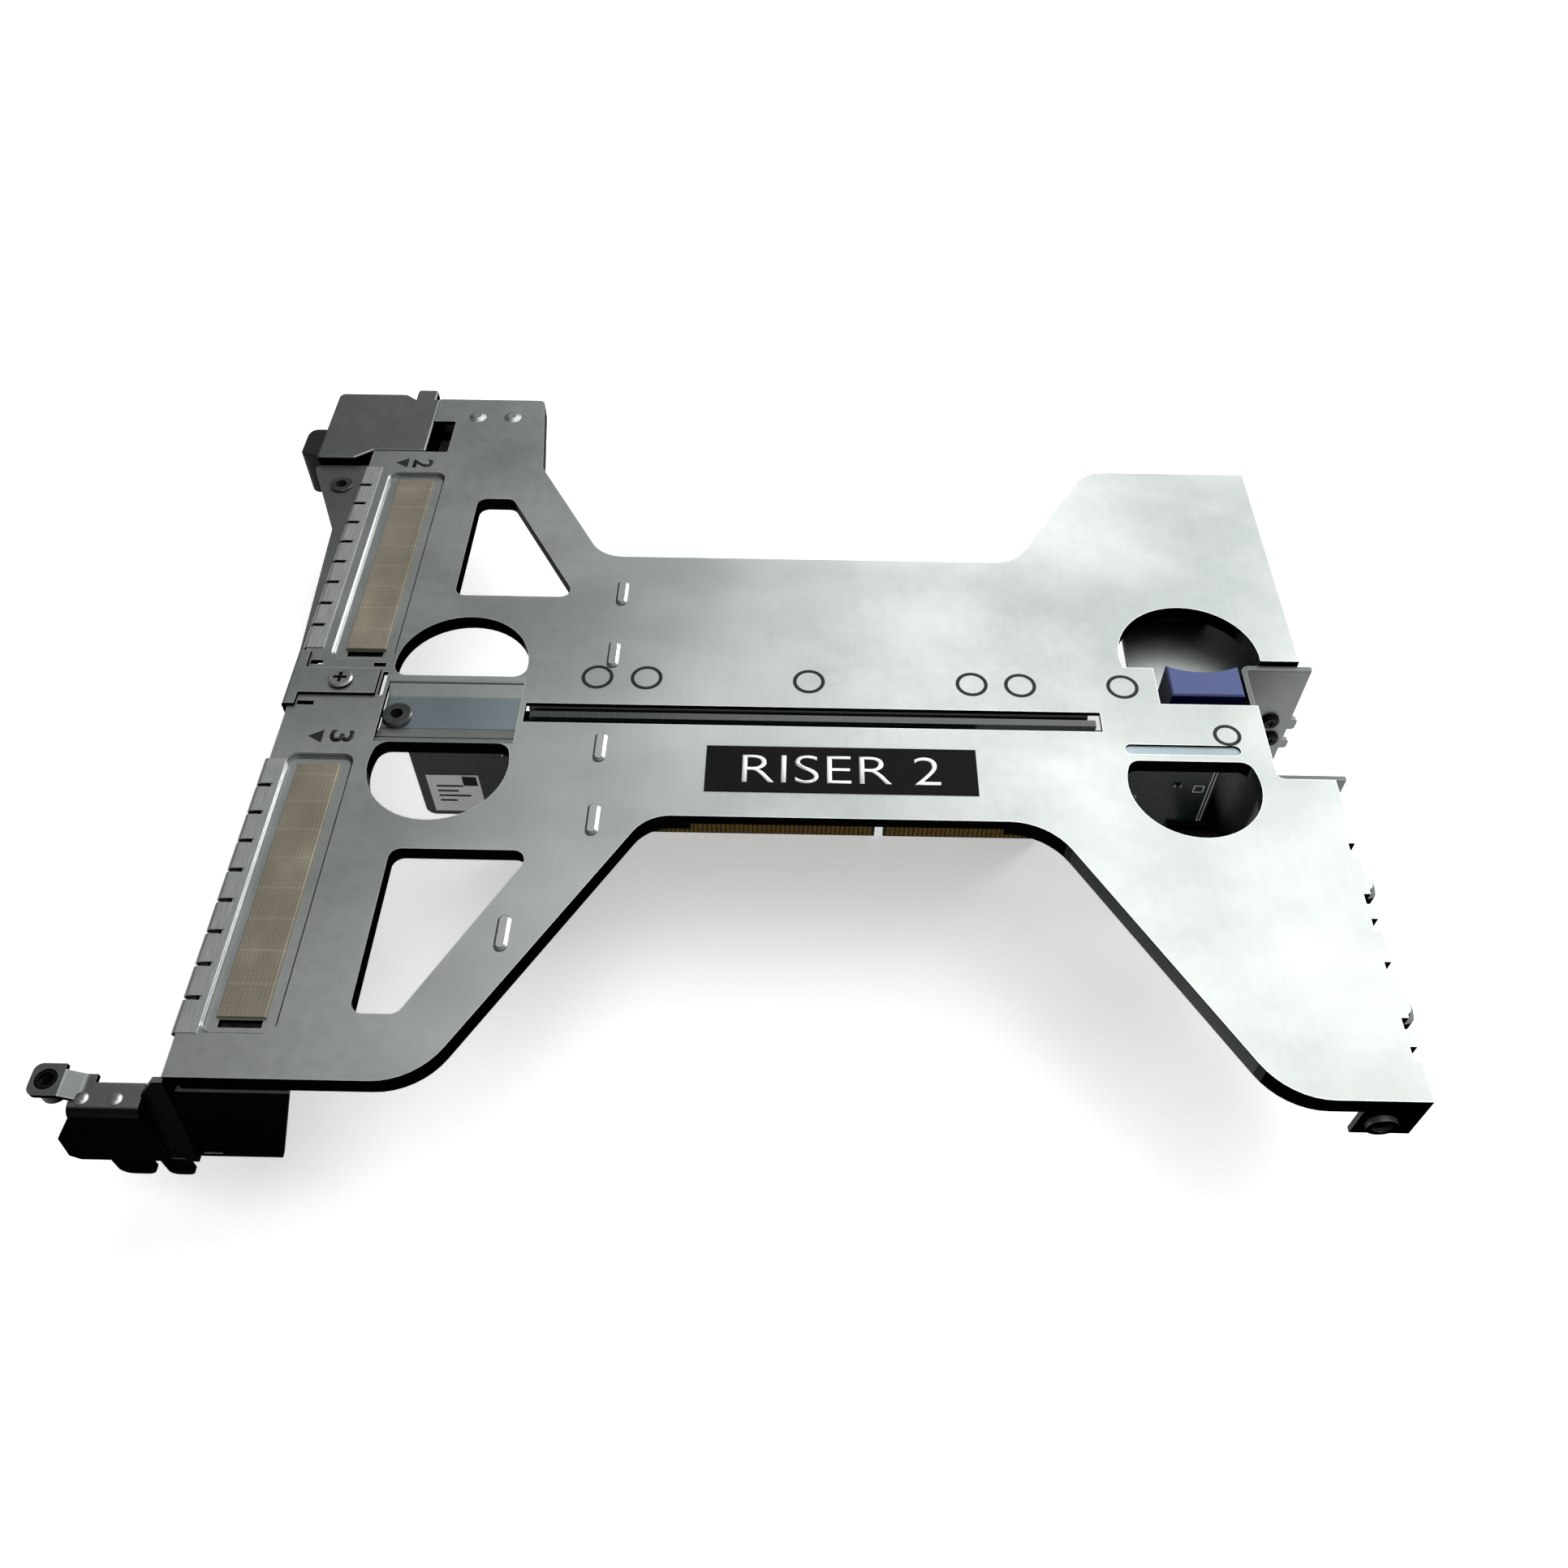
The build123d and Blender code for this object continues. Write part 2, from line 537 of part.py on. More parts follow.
def upper_ledge():
    """Tapered ledge outside the rear wall, with a turned-down outer edge and a screw boss hole."""
    points = [
        (LEDGE_OUT_X, LEDGE_END_Y), LEDGE_MID, LEDGE_TIP, (REAR_X, LEDGE_TIP[1]), (REAR_X, LEDGE_END_Y),
    ]
    face = outline(points, [CORNER, CORNER, 0, 0, 0])
    z = TOP - LEDGE_DROP
    body = Pos(0, 0, z - LEDGE_THICK) * extrude(face, LEDGE_THICK)
    inner = offset(face, -SHEET)
    lip = Pos(0, 0, z - LEDGE_LIP - LEDGE_THICK) * extrude(face - inner, LEDGE_LIP + LEDGE_THICK)
    keep = block((LEDGE_OUT_X, REAR_X - SHEET - BEND), (LEDGE_TIP[1], LEDGE_END_Y), (0, TOP))
    body += lip & keep
    body -= post_z(*INSERT_AT, INSERT_R - SHEET / 2, 0, TOP)
    return body


def press_insert(x, y, flange_r, shank_r, z_top, rise, drop, bore):
    """Round threaded insert: flange on top, shank through the sheet."""
    ring = post_z(x, y, flange_r, z_top, z_top + rise)
    ring = chamfer(ring.edges().group_by(Axis.Z)[-1], rise / 4)
    ring += post_z(x, y, shank_r, z_top - drop, z_top)
    return ring - post_z(x, y, bore, z_top - drop - 1, z_top + rise + 1)


def clamp_outline():
    tab_x, tab_width, tab_reach = CLAMP_TAB
    edge = CLAMP_X - SEAT_GAP
    points = [
        (CLAMP_OUT_X, CLAMP_LOW_Y), (CLAMP_STEP_X - CLAMP_STEP_RUN, CLAMP_LOW_Y), (CLAMP_STEP_X, CLAMP_STEP_Y),
        (edge, CLAMP_STEP_Y), (edge, END_ARM_Y),
        (tab_x + tab_width / 2, END_ARM_Y), (tab_x + tab_width / 2, CLAMP_HIGH_Y + tab_reach),
        (tab_x - tab_width / 2, CLAMP_HIGH_Y + tab_reach), (tab_x - tab_width / 2, END_ARM_Y),
        (tab_x - tab_width, CLAMP_HIGH_Y), (CLAMP_OUT_X, CLAMP_HIGH_Y),
    ]
    return outline(points, [CORNER / 2, 0, 0, 0, 0, 0, CORNER / 2, CORNER / 2, 0, CORNER, CORNER])


def upper_clamp():
    """Drawn steel cap over the end of the upper bracket."""
    face = clamp_outline()
    shell = Pos(0, 0, TOP - CLAMP_DEPTH) * extrude(face, CLAMP_DEPTH)
    shell = fillet(shell.edges().group_by(Axis.Z)[-1], SHEET / 2)
    hollow = Pos(0, 0, TOP - CLAMP_DEPTH - 1) * extrude(offset(face, -SHEET), CLAMP_DEPTH)
    foot_z = TOP - CLAMP_FOOT_DROP
    foot = block((CLAMP_X - SHEET, CLAMP_FOOT_X), CLAMP_FOOT_Y, (foot_z - SHEET, foot_z))
    return shell - hollow + foot


def clamp_bumper():
    """Rubber thumb pad on the outside of the clamp."""
    z = TOP - BUMPER_DROP
    body = block((CLAMP_OUT_X - BUMPER_OUT, CLAMP_OUT_X), BUMPER_Y, (z - BUMPER_TALL, z))
    outer = body.edges().filter_by(Axis.Z).group_by(Axis.X)[0]
    body = fillet(outer, BUMPER_OUT / 2)
    return chamfer(body.faces().sort_by(Axis.Z)[-1].edges().group_by(Axis.X)[0], SHEET / 2)


def end_face():
    """Outline of the end bracket seen from the south, widening outwards below the arm."""
    low = TOP - END_FACE_DROP
    fold = TOP - END_ARM_DROP - SHEET - BEND
    return Polygon(
        (REAR_X, low), (END_FACE_OUT_X + CORNER, low), (END_FACE_OUT_X, low + CORNER),
        (END_FACE_OUT_X + BEND, TOP - END_FACE_WIDE_DROP), (END_ARM_X[0], fold),
        (END_ARM_X[0], TOP), (REAR_X, TOP), align=None,
    )


def end_lean():
    """Part of the end bracket beside the rear wall; it leans in and rises to the plate."""
    low = TOP - END_FACE_DROP
    left = END_ARM_X[1] - SHEET
    right = REAR_X - SEAT_GAP
    lean = REAR_LOW_Y + WING_TILT
    section = Polygon(
        (REAR_LOW_Y, low), (REAR_LOW_Y + SHEET, low), (lean + SHEET, UNDER), (lean, UNDER), align=None,
    )
    sheet = Pos(left, 0, 0) * extrude(Plane.YZ * section, right - left, dir=(1, 0, 0))
    corner = Polygon(
        (left - 1, TOP - END_ARM_DROP - SHEET), (left, TOP - END_ARM_DROP - SHEET),
        (right - SHEET, TOP), (left - 1, TOP), align=None,
    )
    return sheet - Pos(0, REAR_LOW_Y - SHEET, 0) * extrude(Plane.XZ * corner, 2 * END_ARM_WIDTH, dir=(0, 1, 0))


def lower_end_bracket():
    """Folded end bracket with a joggled screw tab and two feet."""
    low = TOP - END_FACE_DROP
    arm = TOP - END_ARM_DROP
    rear, front = END_ARM_X[0], REAR_X
    body = folded_x(
        [(REAR_LOW_Y, low), (REAR_LOW_Y, arm), (REAR_LOW_Y + END_ARM_WIDTH, arm)],
        (END_FACE_OUT_X, front),
    )
    body &= Pos(0, REAR_LOW_Y - SHEET, 0) * extrude(Plane.XZ * end_face(), 2 * END_ARM_WIDTH, dir=(0, 1, 0))
    body -= block((END_ARM_X[1], front + 1), (REAR_LOW_Y - 1, 0), (low - 1, arm + 1))
    body += end_lean()
    body += block((front - SHEET, front), (REAR_LOW_Y + WING_TILT, REAR_LOW_Y + END_ARM_WIDTH), (low, arm - SHEET))
    tab_z = TOP - END_TAB_DROP
    joggle = [
        (END_TAB_X[0], tab_z), (END_TAB_X[1], tab_z),
        (rear + END_TAB_DROP / 2, arm), (rear + END_TAB_DROP, arm),
    ]
    body += folded_y(joggle, (END_TAB_Y[0], END_TAB_Y[1] - SHEET))
    tab = outline(
        [(END_TAB_X[0], END_TAB_Y[0]), (END_TAB_X[1], END_TAB_Y[0]),
         (END_TAB_X[1], END_TAB_Y[1]), (END_TAB_X[0], END_TAB_Y[1])],
        [CORNER, 0, 0, CORNER],
    )
    body -= block((END_TAB_X[0] - 1, END_TAB_X[0] + CORNER), END_TAB_Y, (tab_z - 2, tab_z + 1))
    body += Pos(0, 0, tab_z - SHEET) * extrude(tab, SHEET)
    for x, width in FEET:
        span = (x - width / 2, x + width / 2)
        foot = block(span, (REAR_LOW_Y, REAR_LOW_Y + SHEET), (low - FOOT_DROP, low + SHEET))
        foot = fillet(foot.edges().filter_by(Axis.Y).group_by(Axis.Z)[0], width / 3)
        body += foot
    x, y = end_tab_centre()
    return body - post_z(x, y, NUT_COLLAR_R + SCREW_PLAY / 2, 0, TOP)


def end_tab_centre():
    return (sum(END_TAB_X) / 2, sum(END_TAB_Y) / 2)


def tab_nut():
    """Threaded nut under the screw tab, its collar through the sheet."""
    x, y = end_tab_centre()
    under = TOP - END_TAB_DROP - SHEET
    nut = post_z(x, y, NUT_R, under - NUT_TALL, under)
    nut += post_z(x, y, NUT_COLLAR_R, under, under + SHEET)
    return nut - post_z(x, y, SCREW_TAP_R, 0, TOP)


def centre_clip():
    """Thin clip screwed to the plate, its lip folded over the rear edge."""
    top = TOP + CLIP_RISE
    body = block(CLIP_X, CLIP_Y, (TOP, top))
    out = REAR_X - CLIP_LIP[0]
    body += block((out, CLIP_X[0]), CLIP_LIP_Y, (TOP, top))
    body += block((out, REAR_X - SEAT_GAP), CLIP_LIP_Y, (top - CLIP_LIP[1], top))
    body = fillet(body.edges().filter_by(Axis.Y).group_by(Axis.X)[0].sort_by(Axis.Z)[-1], CLIP_RISE)
    body -= post_z(CLIP_SCREW_X, sum(CLIP_Y) / 2, CLIP_SHANK[0] + SCREW_PLAY, 0, top + 1)
    return body


def cross_screw(x, y, z, head_r, head_tall, shank_r, shank_length):
    """Pan head screw standing along Z, with a cross recess."""
    head = post_z(x, y, head_r, z, z + head_tall)
    head = chamfer(head.edges().group_by(Axis.Z)[-1], head_tall * HEAD_EASE)
    arm = head_r * CROSS_REACH
    bar = head_r * CROSS_WIDTH
    recess_z = (z + head_tall / 2, z + head_tall + 1)
    head -= block((x - arm / 2, x + arm / 2), (y - bar / 2, y + bar / 2), recess_z)
    head -= block((x - bar / 2, x + bar / 2), (y - arm / 2, y + arm / 2), recess_z)
    return head + post_z(x, y, shank_r, z - shank_length, z)


def screw_along_y(x, y, z, head, shank_r, shank_length, head_side):
    """The same screw turned to lie along Y, its head towards head_side."""
    standing = cross_screw(0, 0, 0, head[0], head[1], shank_r, shank_length)
    return Pos(x, y, z) * (Rot(90 if head_side < 0 else -90, 0, 0) * standing)


def finger_strip(y_range):
    """Spring contact fingers clipped over the rear edge of the plate."""
    top = TOP + STRIP_THICK
    inner = REAR_X + STRIP_TOP
    line = Polyline((inner, top), (REAR_X, top)) + ThreePointArc(
        (REAR_X, top), (REAR_X - STRIP_BULGE, TOP - STRIP_DEPTH / 2), (REAR_X - STRIP_THICK, TOP - STRIP_DEPTH),
    )
    wire = Wire(line.edges())
    profile = Face(wire.offset_2d(STRIP_THICK, kind=Kind.ARC, side=Side.LEFT, closed=True))
    length = y_range[1] - y_range[0]
    body = Pos(0, y_range[0], 0) * extrude(Plane.XZ * profile, length, dir=(0, 1, 0))
    count = int(length // FINGER_PITCH)
    for i in range(1, count + 1):
        y = y_range[0] + i * FINGER_PITCH
        if y + FINGER_GAP < y_range[1]:
            cut = (y - FINGER_GAP / 2, y + FINGER_GAP / 2)
            body -= block((REAR_X - 2 * STRIP_BULGE, inner - 1), cut, (TOP - 3 * STRIP_DEPTH, top + 1))
    return body


def strip_notches(y_range):
    """Gaps in the plate's rear edge, one beside each gap between fingers."""
    length = y_range[1] - y_range[0]
    count = int(length // FINGER_PITCH)
    notches = []
    for i in range(1, count + 1):
        y = y_range[0] + i * FINGER_PITCH
        half = STRIP_NOTCH[1] / 2
        if y + half < y_range[1]:
            notches.append(block((REAR_X - 1, REAR_X + STRIP_NOTCH[0]), (y - half, y + half), (UNDER, TOP + 1)))
    return notches


def gasket(centre):
    """Conductive fabric strip on the floor of a pocket."""
    z = TOP - POCKET_DEPTH
    width = POCKET_WIDTH - 2 * GASKET_MARGIN
    slot_front = centre[1] - POCKET_LENGTH / 2 + POCKET_SLOT_SHIFT + POCKET_SLOT[1] / 2
    y_range = (slot_front + GASKET_CLEAR, centre[1] + POCKET_LENGTH / 2 - GASKET_MARGIN)
    body = block((centre[0] - width / 2, centre[0] + width / 2), y_range, (z, z + GASKET_THICK))
    return fillet(body.edges().group_by(Axis.Z)[-1].filter_by(Axis.Y), GASKET_THICK / 2)


def riser_board():
    """Vertical circuit board: tab through the plate's slot, keyed tongue below."""
    foot = BOARD_FOOT
    top = BOARD_TOP
    tab = TOP - BOARD_TOP_GAP
    points = [
        (BOARD_REAR_X, foot), (TONGUE_REAR_X, foot), (TONGUE_REAR_X, 0), (TONGUE_FRONT_X, 0),
        (TONGUE_FRONT_X, foot), (BOARD_FRONT_X, foot), (BOARD_FRONT_X, top),
        (SLOT_FRONT_X - SLOT_PLAY, top), (SLOT_FRONT_X - SLOT_PLAY, tab),
        (SLOT_REAR_X + SLOT_PLAY, tab), (SLOT_REAR_X + SLOT_PLAY, top), (BOARD_REAR_X, top),
    ]
    round_off = [BOARD_CORNER, 0, TONGUE_CHAMFER, TONGUE_CHAMFER, 0, BOARD_CORNER, BOARD_CORNER,
                 0, 0, 0, 0, BOARD_CORNER]
    face = outline(points, round_off)
    for x in TONGUE_KEY_X:
        key = Pos(x, 0) * SlotOverall(2 * foot - 1, TONGUE_KEY_WIDTH, rotation=90)
        face -= key
    board = Pos(0, -HALF_BOARD, 0) * extrude(Plane.XZ * face, BOARD_THICK, dir=(0, 1, 0))
    bevel = board.edges().filter_by(Axis.X).group_by(Axis.Z)[0]
    board = chamfer(bevel, BOARD_THICK / 4)
    for x, z in BOARD_SCREWS:
        board -= post_y(x, z, BOARD_SCREW_R + SCREW_PLAY, -BOARD_THICK, BOARD_THICK)
    for z in (TOP - SOUTH_DROP, TOP - NORTH_DROP):
        for x in socket_posts():
            board -= post_y(x, z, POST_R + SCREW_PLAY, -BOARD_THICK, BOARD_THICK)
    return board


def socket_posts():
    """Where the two locating posts of a card socket stand."""
    return (SOCKET_REAR_X + SOCKET_KEY_X, SOCKET_REAR_X + SOCKET_LENGTH - SOCKET_WALL)


def card_socket(drop, side):
    """Card edge socket lying on one face of the board: mouth, key, side grooves and posts."""
    z = TOP - drop
    face_y = HALF_BOARD
    end = face_y + SOCKET_TALL
    half = SOCKET_WIDTH / 2
    body = block((SOCKET_REAR_X, SOCKET_REAR_X + SOCKET_LENGTH), (face_y, end), (z - half, z + half))
    body = chamfer(body.edges().group_by(Axis.Y)[-1], SOCKET_CHAMFER)
    key = SOCKET_REAR_X + SOCKET_KEY_X
    rear = (SOCKET_REAR_X + SOCKET_WALL, key - SOCKET_KEY / 2)
    front = (key + SOCKET_KEY / 2, SOCKET_REAR_X + SOCKET_LENGTH - SOCKET_WALL)
    mouth = SOCKET_MOUTH / 2
    for span in (rear, front):
        body -= block(span, (end - SOCKET_DEEP, end + 1), (z - mouth, z + mouth))
        for way in (-1, 1):
            groove_z = sorted((z + way * (mouth + CONTACT_THICK + SCREW_PLAY), z + way * mouth / 2))
            groove_x = (span[0] + CONTACT_PITCH / 2, span[1] - CONTACT_PITCH / 2)
            body -= block(groove_x, (end - SOCKET_DEEP, end - SOCKET_CHAMFER), groove_z)
    for x in socket_posts():
        body += post_y(x, z, POST_R, face_y - POST_LENGTH, face_y)
    return body if side > 0 else mirrored(body)


def mirrored(body):
    """The same solid on the other face of the board."""
    return mirror(body, Plane.XZ)


def contact_combs(drop, side):
    """The two facing rows of spring contacts, each a comb with one finger for each position."""
    z = TOP - drop
    end = HALF_BOARD + SOCKET_TALL
    root = end - SOCKET_DEEP
    key = SOCKET_REAR_X + SOCKET_KEY_X
    start = SOCKET_REAR_X + SOCKET_WALL + CONTACT_PITCH
    combs = []
    for way in (-1, 1):
        inner = z + way * SOCKET_MOUTH / 2
        outer = inner + way * CONTACT_THICK
        rows = (min(inner, outer), max(inner, outer))
        bars = []
        for i in range(CONTACT_COUNT):
            x = start + i * CONTACT_PITCH
            if abs(x - key) > SOCKET_KEY / 2 + CONTACT_PITCH:
                bars.append((x - CONTACT_WIDTH / 2, x + CONTACT_WIDTH / 2))
        for part in (True, False):
            group = [bar for bar in bars if (bar[0] < key) == part]
            points = [(group[0][0], root)]
            for low, high in group:
                points += [(low, root + CONTACT_PITCH), (low, root + CONTACT_RUN)]
                points += [(high, root + CONTACT_RUN), (high, root + CONTACT_PITCH)]
            points += [(group[-1][1], root)]
            face = make_face(Polyline(*points, points[0]))
            comb = Pos(0, 0, rows[0]) * extrude(face, CONTACT_THICK)
            combs.append(comb)
    group = Compound(children=combs)
    return group if side > 0 else mirror(group, Plane.XZ)


def board_carrier():
    """Folded bracket under the plate that carries the board, cut out round the north socket."""
    body = folded_x(
        [(CARRIER_Y, TOP - CARRIER_DEPTH), (CARRIER_Y, UNDER), (CARRIER_FLANGE_Y, UNDER)], CARRIER_X,
    )
    below = UNDER - SHEET - BEND
    body -= block((CARRIER_WEB_FRONT, CARRIER_X[1] + 1), (0, CARRIER_Y + SHEET + BEND), (0, UNDER + 1))
    z = TOP - NORTH_DROP
    half = SOCKET_WIDTH / 2 + CARRIER_PLAY
    ends = (SOCKET_REAR_X - 2 * CARRIER_PLAY, SOCKET_REAR_X + SOCKET_LENGTH + CARRIER_PLAY)
    body -= block(ends, (0, CARRIER_Y + 2 * SHEET), (z - half, min(z + half, below)))
    for x, z in BOARD_SCREWS:
        body -= post_y(x, z, BOARD_SCREW_R + SCREW_PLAY, 0, 2 * CARRIER_Y)
    for x, y in RIVETS:
        body -= post_z(x, y, RIVET_SHANK_R + SCREW_PLAY / 2, UNDER - 2 * SHEET, UNDER + 1)
    return body


def board_standoffs():
    """Spacers between board and carrier, one at each board screw."""
    spacers = []
    for x, z in BOARD_SCREWS:
        ring = post_y(x, z, STANDOFF_R, HALF_BOARD, CARRIER_Y)
        spacers.append(ring - post_y(x, z, BOARD_SCREW_R + SCREW_PLAY, 0, 2 * CARRIER_Y))
    return Compound(children=spacers)


def board_screws():
    length = BOARD_THICK + (CARRIER_Y - HALF_BOARD) + 2 * SHEET
    return Compound(children=[
        screw_along_y(x, -HALF_BOARD, z, BOARD_SCREW_HEAD, BOARD_SCREW_R, length, -1) for x, z in BOARD_SCREWS
    ])


def flush_rivet(x, y, radius):
    """Rivet set flush in the plate, closed below the second sheet."""
    head = post_z(x, y, radius - RIVET_GAP, TOP - SHEET / 2, TOP)
    shank = post_z(x, y, RIVET_SHANK_R, UNDER - SHEET, TOP - SHEET / 2)
    tail = post_z(x, y, radius - SHEET / 2, UNDER - SHEET - SHEET / 2, UNDER - SHEET)
    return head + shank + tail


def rivet_seats():
    """Place and radius of every flush rivet."""
    return [(x, y, RIVET_R) for x, y in RIVETS] + [(*BRACKET_RIVET, BRACKET_RIVET_R)]


def front_bracket():
    """Channel down the front recess: web, two wings with lugs, and a tab riveted under the plate."""
    low = TOP - FRONT_DEPTH
    line = FilletPolyline(
        (FRONT_WING_X, FRONT_HIGH_Y), (FRONT_WEB_X, FRONT_HIGH_Y), (FRONT_WEB_X, FRONT_LOW_Y),
        (FRONT_WING_X, FRONT_LOW_Y), radius=BEND + SHEET,
    )
    profile = Face(Wire(line.edges()).offset_2d(SHEET, kind=Kind.ARC, side=Side.LEFT, closed=True))
    body = Pos(0, 0, low) * extrude(profile, UNDER - low)
    body += block((FRONT_TOP_X, FRONT_WEB_X + SHEET / 2), FRONT_TAB_Y, (UNDER - SHEET, UNDER))
    body += block((FRONT_FOOT_X, FRONT_WEB_X + SHEET / 2), FRONT_FOOT_Y, (low, low + SHEET))
    for drop, tall in FRONT_LUGS:
        for y in (FRONT_HIGH_Y - SHEET, FRONT_LOW_Y):
            lug = block((FRONT_WING_X - SHEET, FRONT_WING_X + FRONT_LUG_REACH), (y, y + SHEET),
                        (TOP - drop - tall / 2, TOP - drop + tall / 2))
            body += fillet(lug.edges().filter_by(Axis.Y).group_by(Axis.X)[-1], tall / 4)
    for x, drop in FRONT_SCREWS:
        body -= post_y(x, TOP - drop, FRONT_SCREW_R + SCREW_PLAY, FRONT_HIGH_Y - 2 * SHEET, FRONT_HIGH_Y + 1)
    x, y = BRACKET_RIVET
    return body - post_z(x, y, RIVET_SHANK_R + SCREW_PLAY / 2, UNDER - 2 * SHEET, UNDER + 1)


def front_screws():
    return Compound(children=[
        screw_along_y(x, FRONT_HIGH_Y - SHEET, TOP - drop, FRONT_SCREW_HEAD, FRONT_SCREW_R, 2 * SHEET, -1)
        for x, drop in FRONT_SCREWS
    ])


def touch_shelf():
    """Stepped shelf under the lifting opening, its lip welded under the plate."""
    z = TOP - SHELF_DROP
    shelf = folded_x(
        [(SHELF_Y[0], z), (SHELF_Y[1], z), (SHELF_Y[1], UNDER), (SHELF_Y[1] + SHELF_LIP, UNDER)], SHELF_X,
    )
    return shelf + block((SHELF_X[1] - SHEET, SHELF_WIDE_X), SHELF_WIDE_Y, (z - SHEET, z))


def touch_point():
    """Coloured lifting block with a finger scoop along its far side."""
    body = block(TOUCH_X, TOUCH_Y, (TOP - SHELF_DROP, TOP - TOUCH_TOP_DROP))
    mid = sum(TOUCH_X) / 2
    scoop = post_z(mid, TOUCH_Y[1] + TOUCH_SCOOP_R - TOUCH_SCOOP, TOUCH_SCOOP_R, 0, TOP)
    body -= scoop
    return chamfer(body.edges().group_by(Axis.Z)[-1], SHEET / 3)


def board_tag():
    x, z = TAG_AT
    return block((x - TAG_SIZE[0] / 2, x + TAG_SIZE[0] / 2), (-HALF_BOARD - LABEL_THICK, -HALF_BOARD),
                 (z - TAG_SIZE[1] / 2, z + TAG_SIZE[1] / 2))


def buffer_chips():
    chips = []
    for x in CHIPS:
        half = CHIP_SIZE / 2
        chip = block((x - half, x + half), (-HALF_BOARD - CHIP_TALL, -HALF_BOARD),
                     (CHIP_HEIGHT_AT - half, CHIP_HEIGHT_AT + half))
        chips.append(chamfer(chip.edges().group_by(Axis.Y)[0], CHIP_TALL / 5))
    return Compound(children=chips)


def bulk_capacitors():
    cans = []
    for i in range(CAP_COUNT):
        x = SCREW_BESIDE_SOCKET + CAP_BESIDE_SCREW + i * CAP_PITCH
        can = post_y(x, CAP_HEIGHT_AT, CAP_R, -HALF_BOARD - CAP_TALL, -HALF_BOARD - SHEET)
        can = chamfer(can.edges().group_by(Axis.Y)[0], SHEET / 2)
        base = block((x - CAP_R, x + CAP_R), (-HALF_BOARD - SHEET, -HALF_BOARD),
                     (CAP_HEIGHT_AT - CAP_R, CAP_HEIGHT_AT + CAP_R))
        cans.append(can + base)
    return Compound(children=cans)


def finished_plate():
    """Top plate with the holes that its rivets, clip and inserts need."""
    body = top_plate()
    for x, y, radius in rivet_seats():
        body -= post_z(x, y, radius, TOP - SHEET / 2, TOP + 1)
        body -= post_z(x, y, RIVET_SHANK_R + SCREW_PLAY / 2, UNDER - 1, TOP)
    for x, y, length, width in CLIP_SLOTS:
        body -= Pos(x, y, UNDER) * Box(length, width, 4 * SHEET)
    body -= post_z(CLIP_SCREW_X, sum(CLIP_Y) / 2, CLIP_SHANK[0] + SCREW_PLAY, 0, TOP + 1)
    body -= post_z(*CHANNEL_RING_AT, CHANNEL_RING_SHANK[0] + SCREW_PLAY / 2, 0, TOP)
    for y_range in (STRIP_UP_Y, STRIP_LOW_Y):
        for notch in strip_notches(y_range):
            body -= notch
    x, drop = PIN_BOSS_AT
    boss = post_y(x, TOP - drop, PIN_BOSS_R, LOWER_ARM_Y - SHEET, LOWER_ARM_Y)
    boss -= post_y(x, TOP - drop, PIN_BOSS_R - SHEET, LOWER_ARM_Y - 2 * SHEET, LOWER_ARM_Y - SHEET / 4)
    return body + boss


def all_parts():
    """Every piece of the cage by its node name."""
    channel_floor = TOP - CHANNEL_DEPTH
    return {
        "top_plate": finished_plate(),
        "rear_panel": rear_panel(),
        "upper_ledge": upper_ledge(),
        "ledge_insert": press_insert(*INSERT_AT, INSERT_R, INSERT_R - SHEET / 2 - SCREW_PLAY / 2,
                                     TOP - LEDGE_DROP, SHEET / 2, INSERT_TALL, SCREW_TAP_R),
        "upper_clamp": upper_clamp(),
        "clamp_bumper": clamp_bumper(),
        "lower_end_bracket": lower_end_bracket(),
        "tab_nut": tab_nut(),
        "channel_insert": press_insert(*CHANNEL_RING_AT, CHANNEL_RING_R, CHANNEL_RING_SHANK[0], channel_floor,
                                       CHANNEL_RING_RISE, CHANNEL_RING_SHANK[1], SCREW_TAP_R),
        "centre_clip": centre_clip(),
        "clip_screw": cross_screw(CLIP_SCREW_X, sum(CLIP_Y) / 2, TOP + CLIP_RISE, SCREW_HEAD_R,
                                  SCREW_HEAD_TALL, *CLIP_SHANK),
        "upper_finger_strip": finger_strip(STRIP_UP_Y),
        "lower_finger_strip": finger_strip(STRIP_LOW_Y),
        "upper_gasket": gasket(POCKET_UP),
        "lower_gasket": gasket(POCKET_LOW),
        "riser_board": riser_board(),
        "south_socket": card_socket(SOUTH_DROP, -1),
        "north_socket": card_socket(NORTH_DROP, 1),
        "south_contacts": contact_combs(SOUTH_DROP, -1),
        "north_contacts": contact_combs(NORTH_DROP, 1),
        "board_carrier": board_carrier(),
        "board_standoffs": board_standoffs(),
        "board_screws": board_screws(),
        "plate_rivets": Compound(children=[flush_rivet(*seat) for seat in rivet_seats()]),
        "front_bracket": front_bracket(),
        "front_screws": front_screws(),
        "touch_shelf": touch_shelf(),
        "touch_point": touch_point(),
        "label_plate": block(LABEL_X, LABEL_Y, (TOP, TOP + LABEL_THICK)),
        "board_tag": board_tag(),
        "buffer_chips": buffer_chips(),
        "bulk_capacitors": bulk_capacitors(),
    }


def main():
    os.makedirs("parts", exist_ok=True)
    for name, solid in all_parts().items():
        export_step(solid, f"parts/{name}.step")


main()
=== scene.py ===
import math

import bmesh
import bpy
from mathutils import Matrix, Vector


